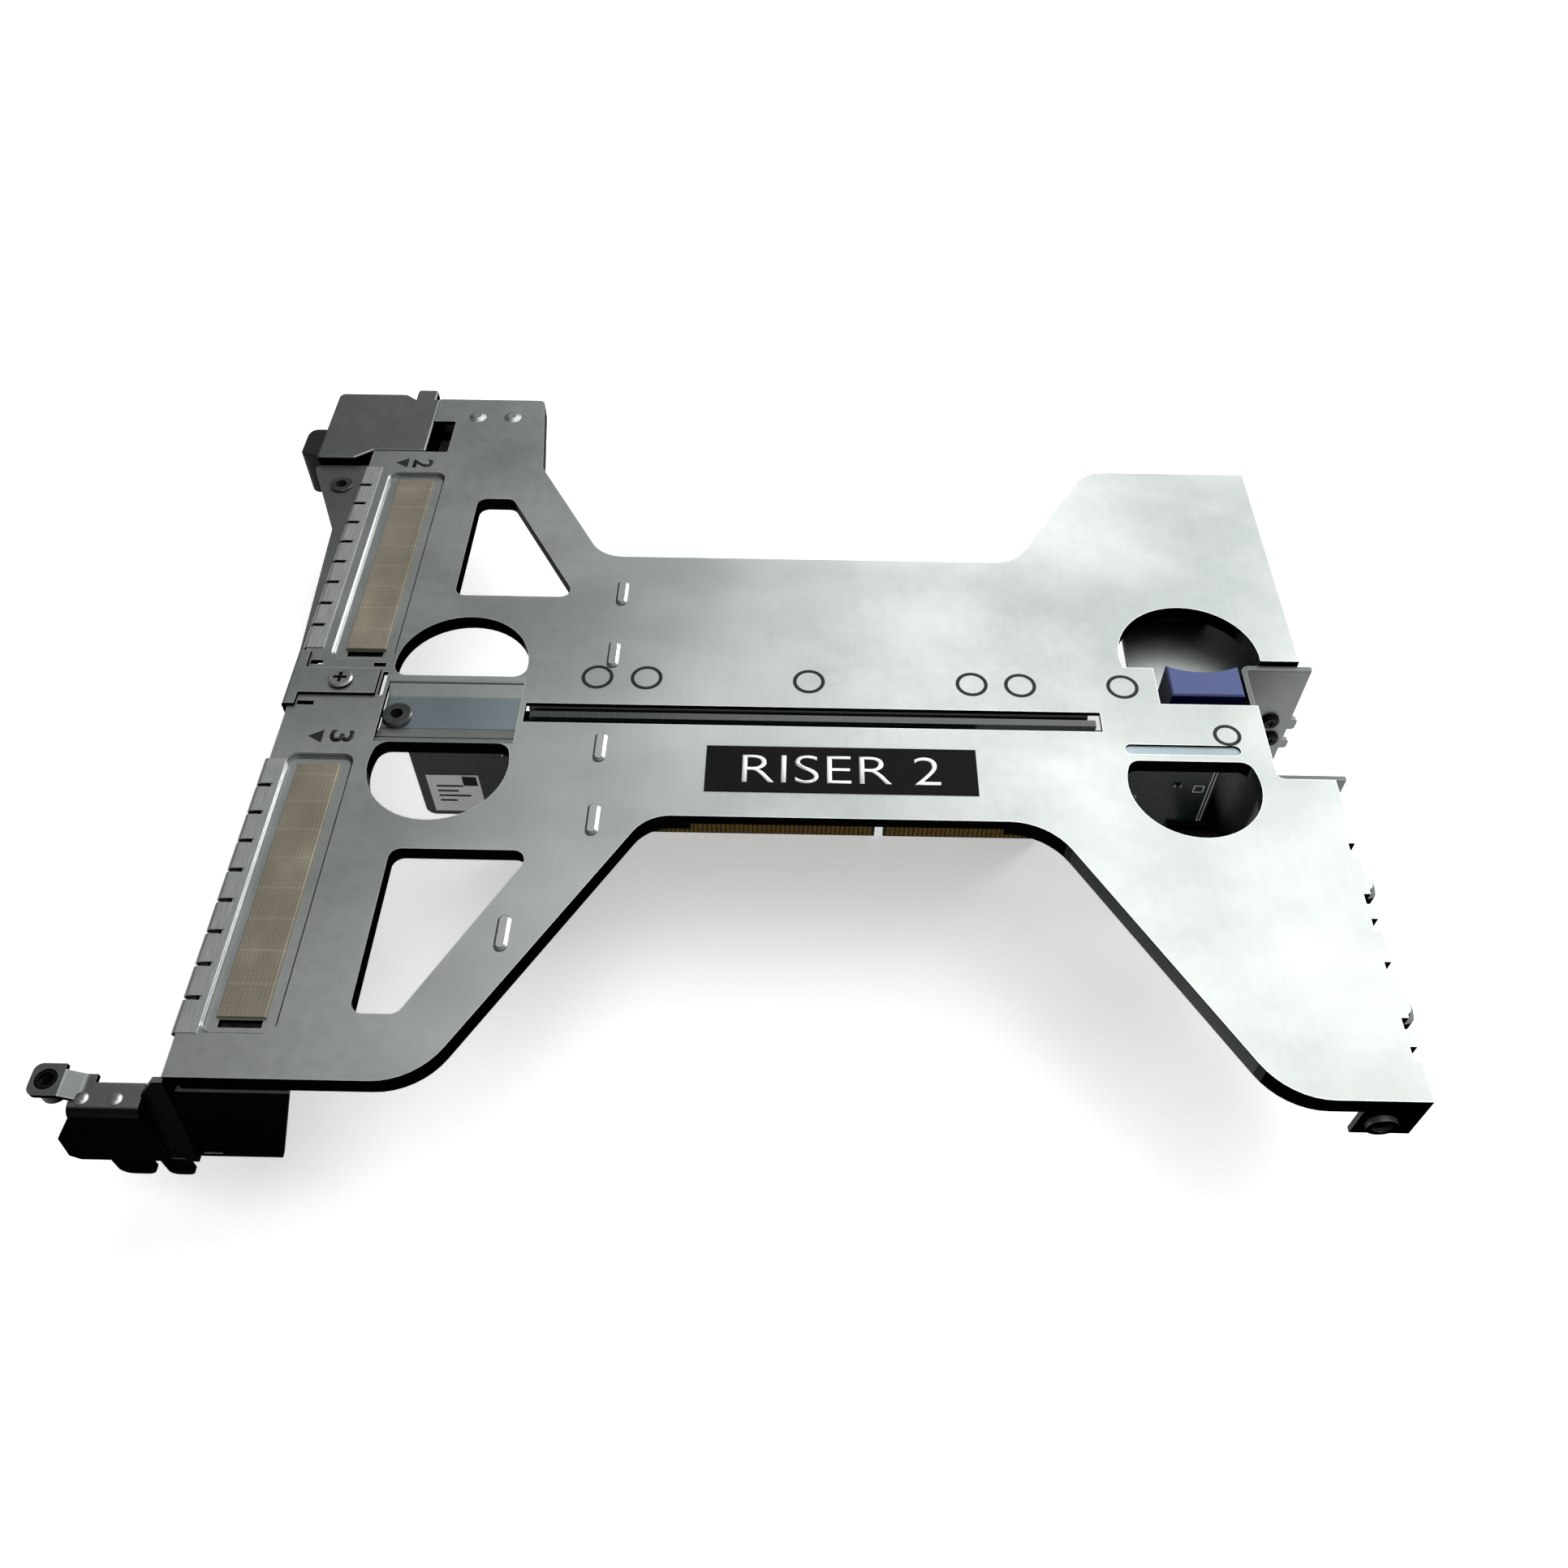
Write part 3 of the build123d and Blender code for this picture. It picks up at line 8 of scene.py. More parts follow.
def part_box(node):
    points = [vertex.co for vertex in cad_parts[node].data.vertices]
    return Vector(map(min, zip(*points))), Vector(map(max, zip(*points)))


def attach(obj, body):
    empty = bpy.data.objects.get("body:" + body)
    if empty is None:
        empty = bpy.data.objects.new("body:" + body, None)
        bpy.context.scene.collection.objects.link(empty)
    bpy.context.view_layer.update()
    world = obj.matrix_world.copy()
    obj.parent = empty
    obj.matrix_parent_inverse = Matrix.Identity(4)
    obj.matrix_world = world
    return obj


bl_info = {
    "name": "Riser Cage Dressing",
    "version": (1, 0, 0),
    "blender": (4, 5, 0),
    "location": "3D View > Sidebar > Riser Cage",
    "description": "Finishes, printed marks and board parts for the butterfly riser cage",
    "category": "Object",
}

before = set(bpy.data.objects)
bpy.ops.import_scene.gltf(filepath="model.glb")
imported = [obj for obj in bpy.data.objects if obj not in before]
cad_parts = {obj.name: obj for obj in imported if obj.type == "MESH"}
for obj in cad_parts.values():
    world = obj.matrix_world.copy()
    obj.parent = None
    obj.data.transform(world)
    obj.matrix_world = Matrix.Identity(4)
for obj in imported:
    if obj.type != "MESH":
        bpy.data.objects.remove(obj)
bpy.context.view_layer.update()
MM = 0.001
BODY = "root"


# Sizes and colours that a user would change

def tint(label, note, value):
    """A colour kept as an sRGB hex value."""
    return bpy.props.StringProperty(name=label, description=note, default=value)


def length(label, note, value):
    """A length, given in millimetres."""
    return bpy.props.FloatProperty(
        name=label, description=note, default=value * MM, unit="LENGTH", precision=5)


class CageColours(bpy.types.PropertyGroup):
    """Colours of the finishes, as they look under plain light."""
    zinc: tint("Zinc sheet", "Skin-passed galvanised sheet", "#a9adaa")
    zinc_dull: tint("Dull zinc", "Where the zinc has oxidised", "#8b908d")
    pressed_floor: tint("Pressed floor", "Cool tint of the trough and the groove", "#d6e1ec")
    plated: tint("Zinc-plated steel", "Screws and small buttons", "#b4b6b7")
    aged: tint("Aged plating", "Threaded inserts", "#5e6162")
    black_oxide: tint("Black oxide", "Small dark screws and the nut", "#1c1c1e")
    spring: tint("Spring steel", "Rolled contact strip", "#c6c8c8")
    weave: tint("Conductive weave", "Tan metallised fabric", "#767060")
    solder_mask: tint("Solder mask", "Very dark green lacquer", "#0b1a13")
    gold: tint("Contact gold", "Hard gold over nickel", "#d6ae5c")
    socket: tint("Socket plastic", "Glass-filled black plastic", "#101011")
    touch: tint("Touch point", "Blue moulded plastic", "#4e5985")
    # Painted shade on the touch point's upright faces.
    touch_side_shade: tint("Touch point sides", "Deeper blue of its upright faces", "#04083a")
    film: tint("Label film", "Black printed film", "#0d0d0e")
    ink: tint("Ink", "Black pad print", "#0a0a0a")
    legend: tint("Legend", "White print", "#f1f1ee")
    epoxy: tint("Chip epoxy", "Moulded chip body", "#17171a")
    can: tint("Capacitor can", "Drawn aluminium", "#bfc2c4")
    rubber: tint("Rubber", "Black pad on the clamp", "#0e0e0f")
    floor: tint("Floor", "Plain pale floor", "#f4f4f3")


class CageSizes(bpy.types.PropertyGroup):
    """Sizes of the printed marks and the small parts."""
    print_thickness: length("Print thickness", "Ink above the surface", 0.03)
    digit_height: length("Digit height", "Height of a slot number", 4.7)
    arrow_length: length("Arrow length", "Length of a slot arrow", 2.9)
    legend_height: length("Legend height", "Capital height on the label", 6.9)
    legend_width: length("Legend width", "Length of the word on the label", 38)
    pad_pitch: length("Pad pitch", "Spacing of the tongue's gold pads", 1)
    lamp_power: bpy.props.FloatProperty(
        name="Lamp power", description="Strength of the soft lamps", default=1.0, min=0)
    room_light: bpy.props.FloatProperty(
        name="Room light", description="Strength of the even light from all sides", default=0.55, min=0)


# Modelling helpers

def sizes():
    """The sizes that a user can change."""
    return bpy.context.scene.cage_sizes


def deselect():
    """Leaves edit mode and selects nothing."""
    if bpy.context.object and bpy.context.object.mode != "OBJECT":
        bpy.ops.object.mode_set(mode="OBJECT")
    bpy.ops.object.select_all(action="DESELECT")


def only(piece):
    """Makes this the one selected, active object."""
    deselect()
    piece.select_set(True)
    bpy.context.view_layer.objects.active = piece


def settle(piece, name):
    """Puts the piece's place into its mesh, so the object sits at the origin."""
    only(piece)
    piece.name = name
    piece.data.name = name
    bpy.ops.object.transform_apply(location=True, rotation=True, scale=True)
    return piece


def new_block(name, low, high):
    """Block between two corners given in millimetres."""
    deselect()
    middle = [(a + b) / 2 * MM for a, b in zip(low, high)]
    size = [(b - a) * MM for a, b in zip(low, high)]
    bpy.ops.mesh.primitive_cube_add(size=1, location=middle, scale=size)
    return settle(bpy.context.object, name)


def new_disc(name, centre, radius, sides, turn=(0, 0, 0)):
    """Filled circle in millimetres."""
    deselect()
    bpy.ops.mesh.primitive_circle_add(
        vertices=sides, radius=radius * MM, fill_type="NGON",
        location=[v * MM for v in centre], rotation=turn)
    return settle(bpy.context.object, name)


def edit(piece, faces=None, edges=None):
    """Edit mode with only the faces or edges selected that pass the test."""
    only(piece)
    bpy.ops.object.mode_set(mode="EDIT")
    bpy.ops.mesh.select_mode(type="FACE" if faces else "EDGE")
    bpy.ops.mesh.select_all(action="DESELECT")
    cage = bmesh.from_edit_mesh(piece.data)
    for face in cage.faces:
        if faces and faces(face):
            face.select_set(True)
    for edge in cage.edges:
        if edges and edges(edge):
            edge.select_set(True)
    bmesh.update_edit_mesh(piece.data)


def done():
    """Back to object mode."""
    bpy.ops.object.mode_set(mode="OBJECT")


def push(distance):
    """Extrudes the selected faces upwards by a length in millimetres."""
    bpy.ops.mesh.extrude_region_move(TRANSFORM_OT_translate={"value": (0, 0, distance * MM)})


def step(inset, shift):
    """Insets the selected faces and moves them, both in millimetres."""
    bpy.ops.mesh.inset(thickness=inset * MM)
    bpy.ops.transform.translate(value=[part * MM for part in shift])


def soften(piece, radius, segments=2):
    """Bevels every edge of the piece and stays in edit mode."""
    edit(piece, edges=lambda edge: True)
    bpy.ops.mesh.bevel(offset=radius * MM, segments=segments)


def repeat(piece, count, shift):
    """Row of copies, one step apart, made part of the mesh."""
    only(piece)
    row = piece.modifiers.new("Row", "ARRAY")
    row.count = count
    row.use_relative_offset = False
    row.use_constant_offset = True
    row.constant_offset_displace = shift
    bpy.ops.object.modifier_apply(modifier=row.name)
    return piece


def copy_to(piece, shift, turn=0.0):
    """Copy with its own mesh, turned about Z and then moved, in millimetres."""
    only(piece)
    bpy.ops.object.duplicate(linked=False)
    twin = bpy.context.object
    place = Matrix.Translation(Vector(shift) * MM) @ Matrix.Rotation(turn, 4, "Z")
    twin.data.transform(place)
    return twin


def join(pieces, name):
    """Joins meshes into one named piece."""
    deselect()
    for piece in pieces:
        piece.select_set(True)
    bpy.context.view_layer.objects.active = pieces[0]
    if len(pieces) > 1:
        bpy.ops.object.join()
    return settle(pieces[0], name)


def finish_piece(piece, material):
    """Material and body of a finished piece."""
    if material:
        piece.data.materials.clear()
        piece.data.materials.append(material)
    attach(piece, BODY)


def dress(nodes, material):
    """Gives a CAD node its material."""
    for name in nodes:
        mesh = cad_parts[name].data
        mesh.materials.clear()
        mesh.materials.append(material)


# Material helpers

def linear(value):
    """Hex colour as linear red, green, blue and alpha."""
    parts = [int(value[i:i + 2], 16) / 255 for i in (1, 3, 5)]
    return [p / 12.92 if p <= 0.04045 else ((p + 0.055) / 1.055) ** 2.4 for p in parts] + [1.0]


def colour(name):
    """One of the cage's colours, as linear values."""
    return linear(getattr(bpy.context.scene.cage_colours, name))


def new_material(name):
    """Material with only its shader and output."""
    material = bpy.data.materials.new(name)
    material.use_nodes = True
    nodes = material.node_tree.nodes
    return material, nodes["Principled BSDF"]


def add_node(material, kind, settings=None, links=None):
    """Adds a node, sets its inputs and properties, and links what is given."""
    node = material.node_tree.nodes.new(kind)
    for key, value in (settings or {}).items():
        if key in node.inputs:
            node.inputs[key].default_value = value
        else:
            setattr(node, key, value)
    for key, source in (links or {}).items():
        material.node_tree.links.new(source, node.inputs[key])
    return node


def feed(material, socket, source):
    """Links the socket, or sets it where the source is a plain value."""
    if isinstance(source, bpy.types.NodeSocket):
        material.node_tree.links.new(source, socket)
    else:
        socket.default_value = source


def shade(material, shader, settings):
    """Sets or links the sockets of the shader."""
    for key, source in settings.items():
        feed(material, shader.inputs[key], source)


def ramp(material, source, stops):
    """Colour ramp with these stops."""
    node = add_node(material, "ShaderNodeValToRGB", None, {"Fac": source})
    cells = node.color_ramp.elements
    while len(cells) < len(stops):
        cells.new(1.0)
    for cell, (position, value) in zip(cells, stops):
        cell.position = position
        cell.color = value if len(value) == 4 else list(value) + [1.0]
    return node.outputs["Color"]


def grey(value):
    """Neutral colour of this brightness."""
    return (value, value, value, 1.0)


def blend(material, first, second, share=1.0, kind="MIX"):
    """Blends two colours, each a value or a socket, by a share that can be a socket too."""
    node = add_node(material, "ShaderNodeMix", {"data_type": "RGBA", "blend_type": kind})
    feed(material, node.inputs[0], share)
    feed(material, node.inputs[6], first)
    feed(material, node.inputs[7], second)
    return node.outputs[2]


def combine(material, kind, operation, first, second):
    """Maths node of two sources; kind is the node's type."""
    node = add_node(material, kind, {"operation": operation})
    feed(material, node.inputs[0], first)
    feed(material, node.inputs[1], second)
    return node.outputs["Value"]


def spread(material, value, low, high, start=0.0, end=1.0):
    """Maps a value from start..end to low..high and holds it at the ends."""
    node = add_node(material, "ShaderNodeMapRange",
                    {"From Min": start, "From Max": end, "To Min": low, "To Max": high}, {"Value": value})
    return node.outputs["Result"]


def millimetres(material, scale):
    """Object coordinates, scaled per millimetre along each axis."""
    place = add_node(material, "ShaderNodeTexCoord")
    mapping = add_node(material, "ShaderNodeMapping", {"Scale": [s / MM for s in scale]},
                       {"Vector": place.outputs["Object"]})
    return mapping.outputs["Vector"]


def noise(material, scale, detail=2.0, roughness=0.5):
    """Cloudy texture, its scale given per millimetre along each axis."""
    return add_node(material, "ShaderNodeTexNoise", {"Scale": 1.0, "Detail": detail, "Roughness": roughness},
                    {"Vector": millimetres(material, scale)})


def wave(material, scale, direction, distortion=0.0):
    """Bands along one direction, their scale given per millimetre."""
    node = add_node(material, "ShaderNodeTexWave",
                    {"Scale": 1.0, "Distortion": distortion, "bands_direction": direction},
                    {"Vector": millimetres(material, (scale, scale, scale))})
    return node.outputs["Fac"]


def relief(material, height, strength, depth):
    """Normal of a fine relief, its depth given in millimetres."""
    node = add_node(material, "ShaderNodeBump", {"Strength": strength, "Distance": depth * MM},
                    {"Height": height})
    return node.outputs["Normal"]


def height_of(material, vector):
    """The upright part of a vector."""
    return add_node(material, "ShaderNodeSeparateXYZ", None, {"Vector": vector}).outputs["Z"]


def true_normal(material):
    """Direction that a face looks in, without smoothing."""
    return add_node(material, "ShaderNodeNewGeometry").outputs["True Normal"]


def edge_mask(material, radius):
    """White along sharp edges, from the difference between rounded and true normal."""
    bevel = add_node(material, "ShaderNodeBevel", {"samples": 4, "Radius": radius * MM})
    truth = add_node(material, "ShaderNodeNewGeometry")
    likeness = combine(material, "ShaderNodeVectorMath", "DOT_PRODUCT",
                       bevel.outputs["Normal"], truth.outputs["Normal"])
    return ramp(material, likeness, [(0.80, grey(1)), (0.97, grey(0))])


# Finishes

DEPTH_SCALE = (36.0, 38.0)  # heights that the depth tint runs over
TROUGH_BAND = (36.4, 36.6)
RING_BAND = (37.47, 37.53)
GROOVE_BAND = (37.57, 37.63)
BAND_EDGE = 0.01            # soft edge of a band, as a share of the scale
RING_GAP_SHADE = 0.03             # painted shade in the gap round a rivet
ROLLED_SHARE = 0.12         # strength of the rolled grain
BARE_ZINC = "#d3d6d5"       # where edges rub
DARK_REFLECTION_SIDE = (0.35, -0.94, 0.0)  # towards the side whose upright faces get the darkest painted reflection, that of a dark table
BACK_SHADE = 0.45            # painted shade on upright faces on the other sides


def depth_bands(bands):
    """Ramp stops that tint only the given bands of height."""
    low, high = DEPTH_SCALE
    stops = []
    for (bottom, top), value in bands:
        start, end = (bottom - low) / (high - low), (top - low) / (high - low)
        stops += [(start - BAND_EDGE, grey(1)), (start, value), (end, value), (end + BAND_EDGE, grey(1))]
    return stops


def galvanised_sheet(name, upright_shade, level_shade=1.0, slope=(0.25, 0.75)):
    """Hot-dip galvanised, skin-passed steel: a satin grey metal with a faint rolled grain,
    broad cloudy oxide patches, and brighter bare zinc where edges rub.
    Upright faces carry painted shade and a painted reflection, and level_shade paints shade on level faces."""
    material, shader = new_material(name)
    cloud = noise(material, (0.016, 0.022, 0.022), 3.0, 0.55)
    grain = noise(material, (0.9, 0.05, 0.9))
    spangle = add_node(material, "ShaderNodeTexVoronoi", {"Scale": 1.0, "feature": "F1"},
                       {"Vector": millimetres(material, (0.45, 0.45, 0.45))})
    patches = ramp(material, cloud.outputs["Fac"], [(0.35, grey(0)), (0.65, grey(1))])
    base = blend(material, colour("zinc_dull"), colour("zinc"), patches)
    rolled = ramp(material, grain.outputs["Fac"], [(0.3, grey(0.78)), (0.7, grey(1))])
    lined = blend(material, base, rolled, ROLLED_SHARE, "MULTIPLY")
    worn = blend(material, lined, linear(BARE_ZINC), edge_mask(material, 0.35))
    # Painted shade and a painted reflection of a dark table darken upright faces,
    # most of all those towards the lower side; level_shade paints shade on level faces.
    facing = true_normal(material)
    level = height_of(material, facing)
    toward = combine(material, "ShaderNodeVectorMath", "DOT_PRODUCT", facing, DARK_REFLECTION_SIDE)
    dark_reflection_share = ramp(material, toward, [(0.1, grey(0)), (0.3, grey(1))])
    shade_ramps = [ramp(material, level, [(slope[0], grey(low)), (slope[1], grey(level_shade))])
             for low in (BACK_SHADE, upright_shade)]
    tone = blend(material, shade_ramps[0], shade_ramps[1], dark_reflection_share)
    upright = blend(material, worn, tone, kind="MULTIPLY")
    # The trough and the groove keep a cool tint; the gap round a rivet gets painted shade.
    place = height_of(material, millimetres(material, (1, 1, 1)))
    depth = spread(material, place, 0.0, 1.0, DEPTH_SCALE[0], DEPTH_SCALE[1])
    cool = colour("pressed_floor")
    bands = depth_bands([(TROUGH_BAND, cool), (RING_BAND, grey(RING_GAP_SHADE)), (GROOVE_BAND, cool)])
    pressed = blend(material, upright, ramp(material, depth, bands), kind="MULTIPLY")
    # The specular tint carries the same painted shade.
    shade(material, shader, {
        "Metallic": 1.0, "Base Color": pressed, "Specular Tint": tone,
        "Roughness": spread(material, spangle.outputs["Distance"], 0.36, 0.42),
        "Normal": relief(material, grain.outputs["Fac"], 0.03, 0.05)})
    return material


RECESS_SHADE_DEPTH = 0.35          # how far under the top of the screw head its painted recess shade starts
RECESS_EDGE = 0.05          # height over which the painted shade fades in
RECESS_SHADE_TONE = 0.02          # brightness left in the painted shade


def plated_steel(name="zinc_plated_steel", key="plated", shade_below=None):
    """Zinc plating on turned and headed parts: smoother than the sheet, with fine turning lines.
    Below a height in millimetres it carries painted shade, as in the drive recess and at the foot of a screw
    head."""
    material, shader = new_material(name)
    lines = noise(material, (0.3, 0.3, 6.0)).outputs["Fac"]
    dark = [part * 0.75 for part in colour(key)[:3]]
    tone = ramp(material, lines, [(0.3, dark), (0.7, colour(key))])
    if shade_below:
        place = height_of(material, millimetres(material, (1, 1, 1)))
        recess_shade = spread(material, place, RECESS_SHADE_TONE, 1.0, shade_below - RECESS_EDGE, shade_below)
        tone = blend(material, tone, recess_shade, kind="MULTIPLY")
    shade(material, shader, {
        "Metallic": 1.0, "Base Color": tone, "Roughness": spread(material, lines, 0.22, 0.36)})
    return material


def black_oxide():
    """Blackened steel: nearly black with a low oily sheen, rubbed grey on its edges."""
    material, shader = new_material("black_oxide_steel")
    stain = noise(material, (1.5, 1.5, 1.5), 4.0).outputs["Fac"]
    base = blend(material, colour("black_oxide"), linear("#5d5e60"), edge_mask(material, 0.15))
    shade(material, shader, {
        "Metallic": 1.0, "Base Color": base, "Roughness": spread(material, stain, 0.3, 0.5)})
    return material


def fine_metal(name, scale, stops, roughness):
    """Plain metal whose two tones follow fine lines or wipe marks."""
    material, shader = new_material(name)
    marks = noise(material, scale).outputs["Fac"]
    tone = ramp(material, marks, [(0.3, stops[0]), (0.7, stops[1])])
    shade(material, shader, {"Metallic": 1.0, "Base Color": tone, "Roughness": roughness})
    return material


def spring_steel():
    """Cold-rolled stainless strip: bright, with rolling lines along its length."""
    return fine_metal("rolled_spring_steel", (5.0, 0.2, 5.0), (linear("#a6a9a9"), colour("spring")), 0.4)


def contact_gold():
    """Hard gold plating: warm, polished metal with faint wipe marks."""
    return fine_metal("contact_gold", (4.0, 0.8, 0.8), (linear("#b98d43"), colour("gold")), 0.28)


def capacitor_aluminium():
    """Drawn aluminium can: bright satin metal with fine draw lines round it."""
    return fine_metal("drawn_aluminium", (0.3, 4.0, 0.3), (linear("#a0a3a6"), colour("can")), 0.3)


THREAD_WAVE = 0.4           # threads of the weave, per millimetre
CROSS_LINE_WAVE = 0.0476          # one lighter cross line every 6.6 mm


def conductive_weave():
    """Metallised polyester weave wrapped on foam: tan, slightly shiny threads with lighter cross lines."""
    material, shader = new_material("conductive_weave")
    threads = [wave(material, THREAD_WAVE, direction, 0.6) for direction in "YX"]
    weave = combine(material, "ShaderNodeMath", "MULTIPLY", threads[0], threads[1])
    cloud = noise(material, (0.1, 0.06, 0.1)).outputs["Fac"]
    tone = ramp(material, cloud,
                [(0.3, linear("#686352")), (0.55, colour("weave")), (0.75, linear("#88836f"))])
    cross_lines = ramp(material, wave(material, CROSS_LINE_WAVE, "Y"), [(0.97, grey(0)), (1.0, grey(0.12))])
    cross_lined = blend(material, tone, linear("#b3ad9f"), cross_lines)
    shade(material, shader, {
        "Metallic": 0.35, "Roughness": 0.5, "Sheen Weight": 0.25, "Sheen Roughness": 0.4,
        "Base Color": cross_lined, "Normal": relief(material, weave, 0.35, 0.08)})
    return material


def solder_mask():
    """Glass-epoxy board under dark solder mask: traces show as slightly lighter, raised lines."""
    material, shader = new_material("solder_mask")
    grid = add_node(material, "ShaderNodeTexBrick",
                    {"Scale": 1.0, "Mortar Size": 0.06, "Brick Width": 3.2, "Row Height": 0.9, "offset": 0.37,
                     "Color1": grey(0), "Color2": grey(0), "Mortar": grey(1)})
    place = add_node(material, "ShaderNodeTexCoord")
    turn = add_node(material, "ShaderNodeMapping",
                    {"Rotation": (math.radians(90), 0, 0), "Scale": (1 / MM, 1 / MM, 1 / MM)},
                    {"Vector": place.outputs["Object"]})
    feed(material, grid.inputs["Vector"], turn.outputs["Vector"])
    traces = grid.outputs["Color"]
    tone = ramp(material, traces, [(0.0, colour("solder_mask")), (1.0, linear("#1d3a2b"))])
    shade(material, shader, {
        "Roughness": 0.32, "IOR": 1.55, "Coat Weight": 0.2, "Coat Roughness": 0.2,
        "Base Color": tone, "Normal": relief(material, traces, 0.3, 0.03)})
    return material


def moulded_black(name, key, grit, roughness):
    """Moulded black plastic or rubber: an even fine grit that only shows as a soft sheen."""
    material, shader = new_material(name)
    texture = noise(material, (grit, grit, grit)).outputs["Fac"]
    tone = ramp(material, texture, [(0.3, colour(key)), (0.8, linear("#222325"))])
    shade(material, shader, {
        "Roughness": roughness, "Specular IOR Level": 0.2,
        "Base Color": tone, "Normal": relief(material, texture, 0.2, 0.03)})
    return material


def touch_plastic():
    """Moulded blue ABS with a spark-eroded grain; its edges carry a painted highlight and its upright faces
    painted shade.
    """
    material, shader = new_material("touch_blue_abs")
    texture = noise(material, (3.0, 3.0, 3.0), 3.0).outputs["Fac"]
    # Lighter edges: a painted highlight.
    base = blend(material, colour("touch"), linear("#646d98"), edge_mask(material, 0.4))
    level = ramp(material, height_of(material, true_normal(material)), [(0.2, grey(0)), (0.8, grey(1))])
    # Upright faces take the deeper blue as painted shade.
    side = blend(material, colour("touch_side_shade"), base, level)
    shade(material, shader, {
        "Roughness": 0.5, "IOR": 1.53, "Specular IOR Level": 0.1,
        "Base Color": side, "Normal": relief(material, texture, 0.25, 0.03)})
    return material


RUB_SHARE = 0.1             # tint of the rub marks
RUB_SPREAD = 0.15           # how much duller they are


def printed(name, key, roughness, gloss_level=0.3):
    """Ink or film: an even colour with a few faint rub marks in its gloss."""
    material, shader = new_material(name)
    rub = noise(material, (0.25, 1.1, 1.1), 4.0)
    tone = blend(material, colour(key), rub.outputs["Color"], RUB_SHARE, "MULTIPLY")
    shade(material, shader, {
        "Specular IOR Level": gloss_level, "Base Color": tone,
        "Roughness": spread(material, rub.outputs["Fac"], roughness, roughness + RUB_SPREAD)})
    return material


def tin_solder():
    """Reflowed tin on the ends of small parts: bright, lumpy metal."""
    material, shader = new_material("reflowed_tin")
    lump = noise(material, (2.0, 2.0, 2.0)).outputs["Fac"]
    tone = ramp(material, lump, [(0.3, linear("#a6a9aa")), (0.7, linear("#d0d2d3"))])
    shade(material, shader, {
        "Metallic": 1.0, "Roughness": 0.3, "Base Color": tone, "Normal": relief(material, lump, 0.3, 0.05)})
    return material


# Operators, one for each piece or group of like pieces

class CAGE_OT_sheet_metal(bpy.types.Operator):
    """Galvanised finish with painted shade on the plate, walls, brackets, clamp and shelf"""
    bl_idname = "cage.sheet_metal"
    bl_label = "Finish sheet metal"

    def execute(self, context):
        # The numbers given to galvanised_sheet are painted shade: near-black upright faces, and darker copies
        # for the ledge and clamp, the end bracket and the front bracket.
        dress(["top_plate", "rear_panel", "centre_clip", "board_carrier", "touch_shelf", "plate_rivets"],
              galvanised_sheet("galvanised_sheet", 0.015))
        dress(["upper_ledge", "upper_clamp"], galvanised_sheet("galvanised_painted_shade", 0.015, 0.6))
        dress(["lower_end_bracket"], galvanised_sheet("galvanised_end", 0.04, 0.55, (0.9, 0.98)))
        dress(["front_bracket"], galvanised_sheet("galvanised_bracket", 0.55, 0.3))
        dress(["board_standoffs", "board_screws"], plated_steel())
        head_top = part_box("clip_screw")[1].z / MM
        dress(["clip_screw"], plated_steel("zinc_plated_screw", shade_below=head_top - RECESS_SHADE_DEPTH))
        dress(["ledge_insert", "channel_insert"], plated_steel("aged_zinc_plating", "aged"))
        dress(["tab_nut", "front_screws"], black_oxide())
        dress(["upper_finger_strip", "lower_finger_strip"], spring_steel())
        return {"FINISHED"}


class CAGE_OT_soft_trim(bpy.types.Operator):
    """Finish of the gaskets, the clamp's rubber pad and the blue touch point"""
    bl_idname = "cage.soft_trim"
    bl_label = "Finish gaskets and touch point"

    def execute(self, context):
        dress(["upper_gasket", "lower_gasket"], conductive_weave())
        dress(["clamp_bumper"], moulded_black("moulded_rubber", "rubber", 2.0, 0.6))
        dress(["touch_point"], touch_plastic())
        dress(["label_plate"], printed("black_label_film", "film", 0.5, 0.06))
        dress(["board_tag"], printed("white_paper_tag", "legend", 0.6))
        return {"FINISHED"}


TAIL_LENGTH = 3.6
TAIL_LAP = 1.0              # how far it reaches in under the gasket
TAIL_TOP = 1.15             # under the gasket's lower face
TAIL_TALL = 0.8
TAIL_ROUND = 0.2


class CAGE_OT_gasket_tails(bpy.types.Operator):
    """Dark block tucked under the slot beside each gasket, standing as painted shade in the slot"""
    bl_idname = "cage.gasket_tails"
    bl_label = "Model gasket tails"

    def execute(self, context):
        tails = []
        for node in ("upper_gasket", "lower_gasket"):
            low, high = (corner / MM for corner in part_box(node))
            tail = new_block("tail", (low.x, low.y - TAIL_LENGTH, low.z - TAIL_TOP - TAIL_TALL),
                             (high.x, low.y + TAIL_LAP, low.z - TAIL_TOP))
            soften(tail, TAIL_ROUND)
            done()
            tails.append(tail)
        # The tails are near black as painted shade in the slot.
        foam = moulded_black("gasket_tail_painted_shade", "rubber", 1.5, 0.9)
        finish_piece(join(tails, "gasket_tails"), foam)
        return {"FINISHED"}


class CAGE_OT_board(bpy.types.Operator):
    """Finish of the riser board, its sockets, contacts and chips"""
    bl_idname = "cage.board"
    bl_label = "Finish riser board"

    def execute(self, context):
        dress(["riser_board"], solder_mask())
        dress(["south_contacts", "north_contacts"], contact_gold())
        dress(["south_socket", "north_socket"], moulded_black("socket_plastic", "socket", 3.0, 0.5))
        dress(["buffer_chips"], moulded_black("chip_epoxy", "epoxy", 5.0, 0.4))
        dress(["bulk_capacitors"], capacitor_aluminium())
        return {"FINISHED"}


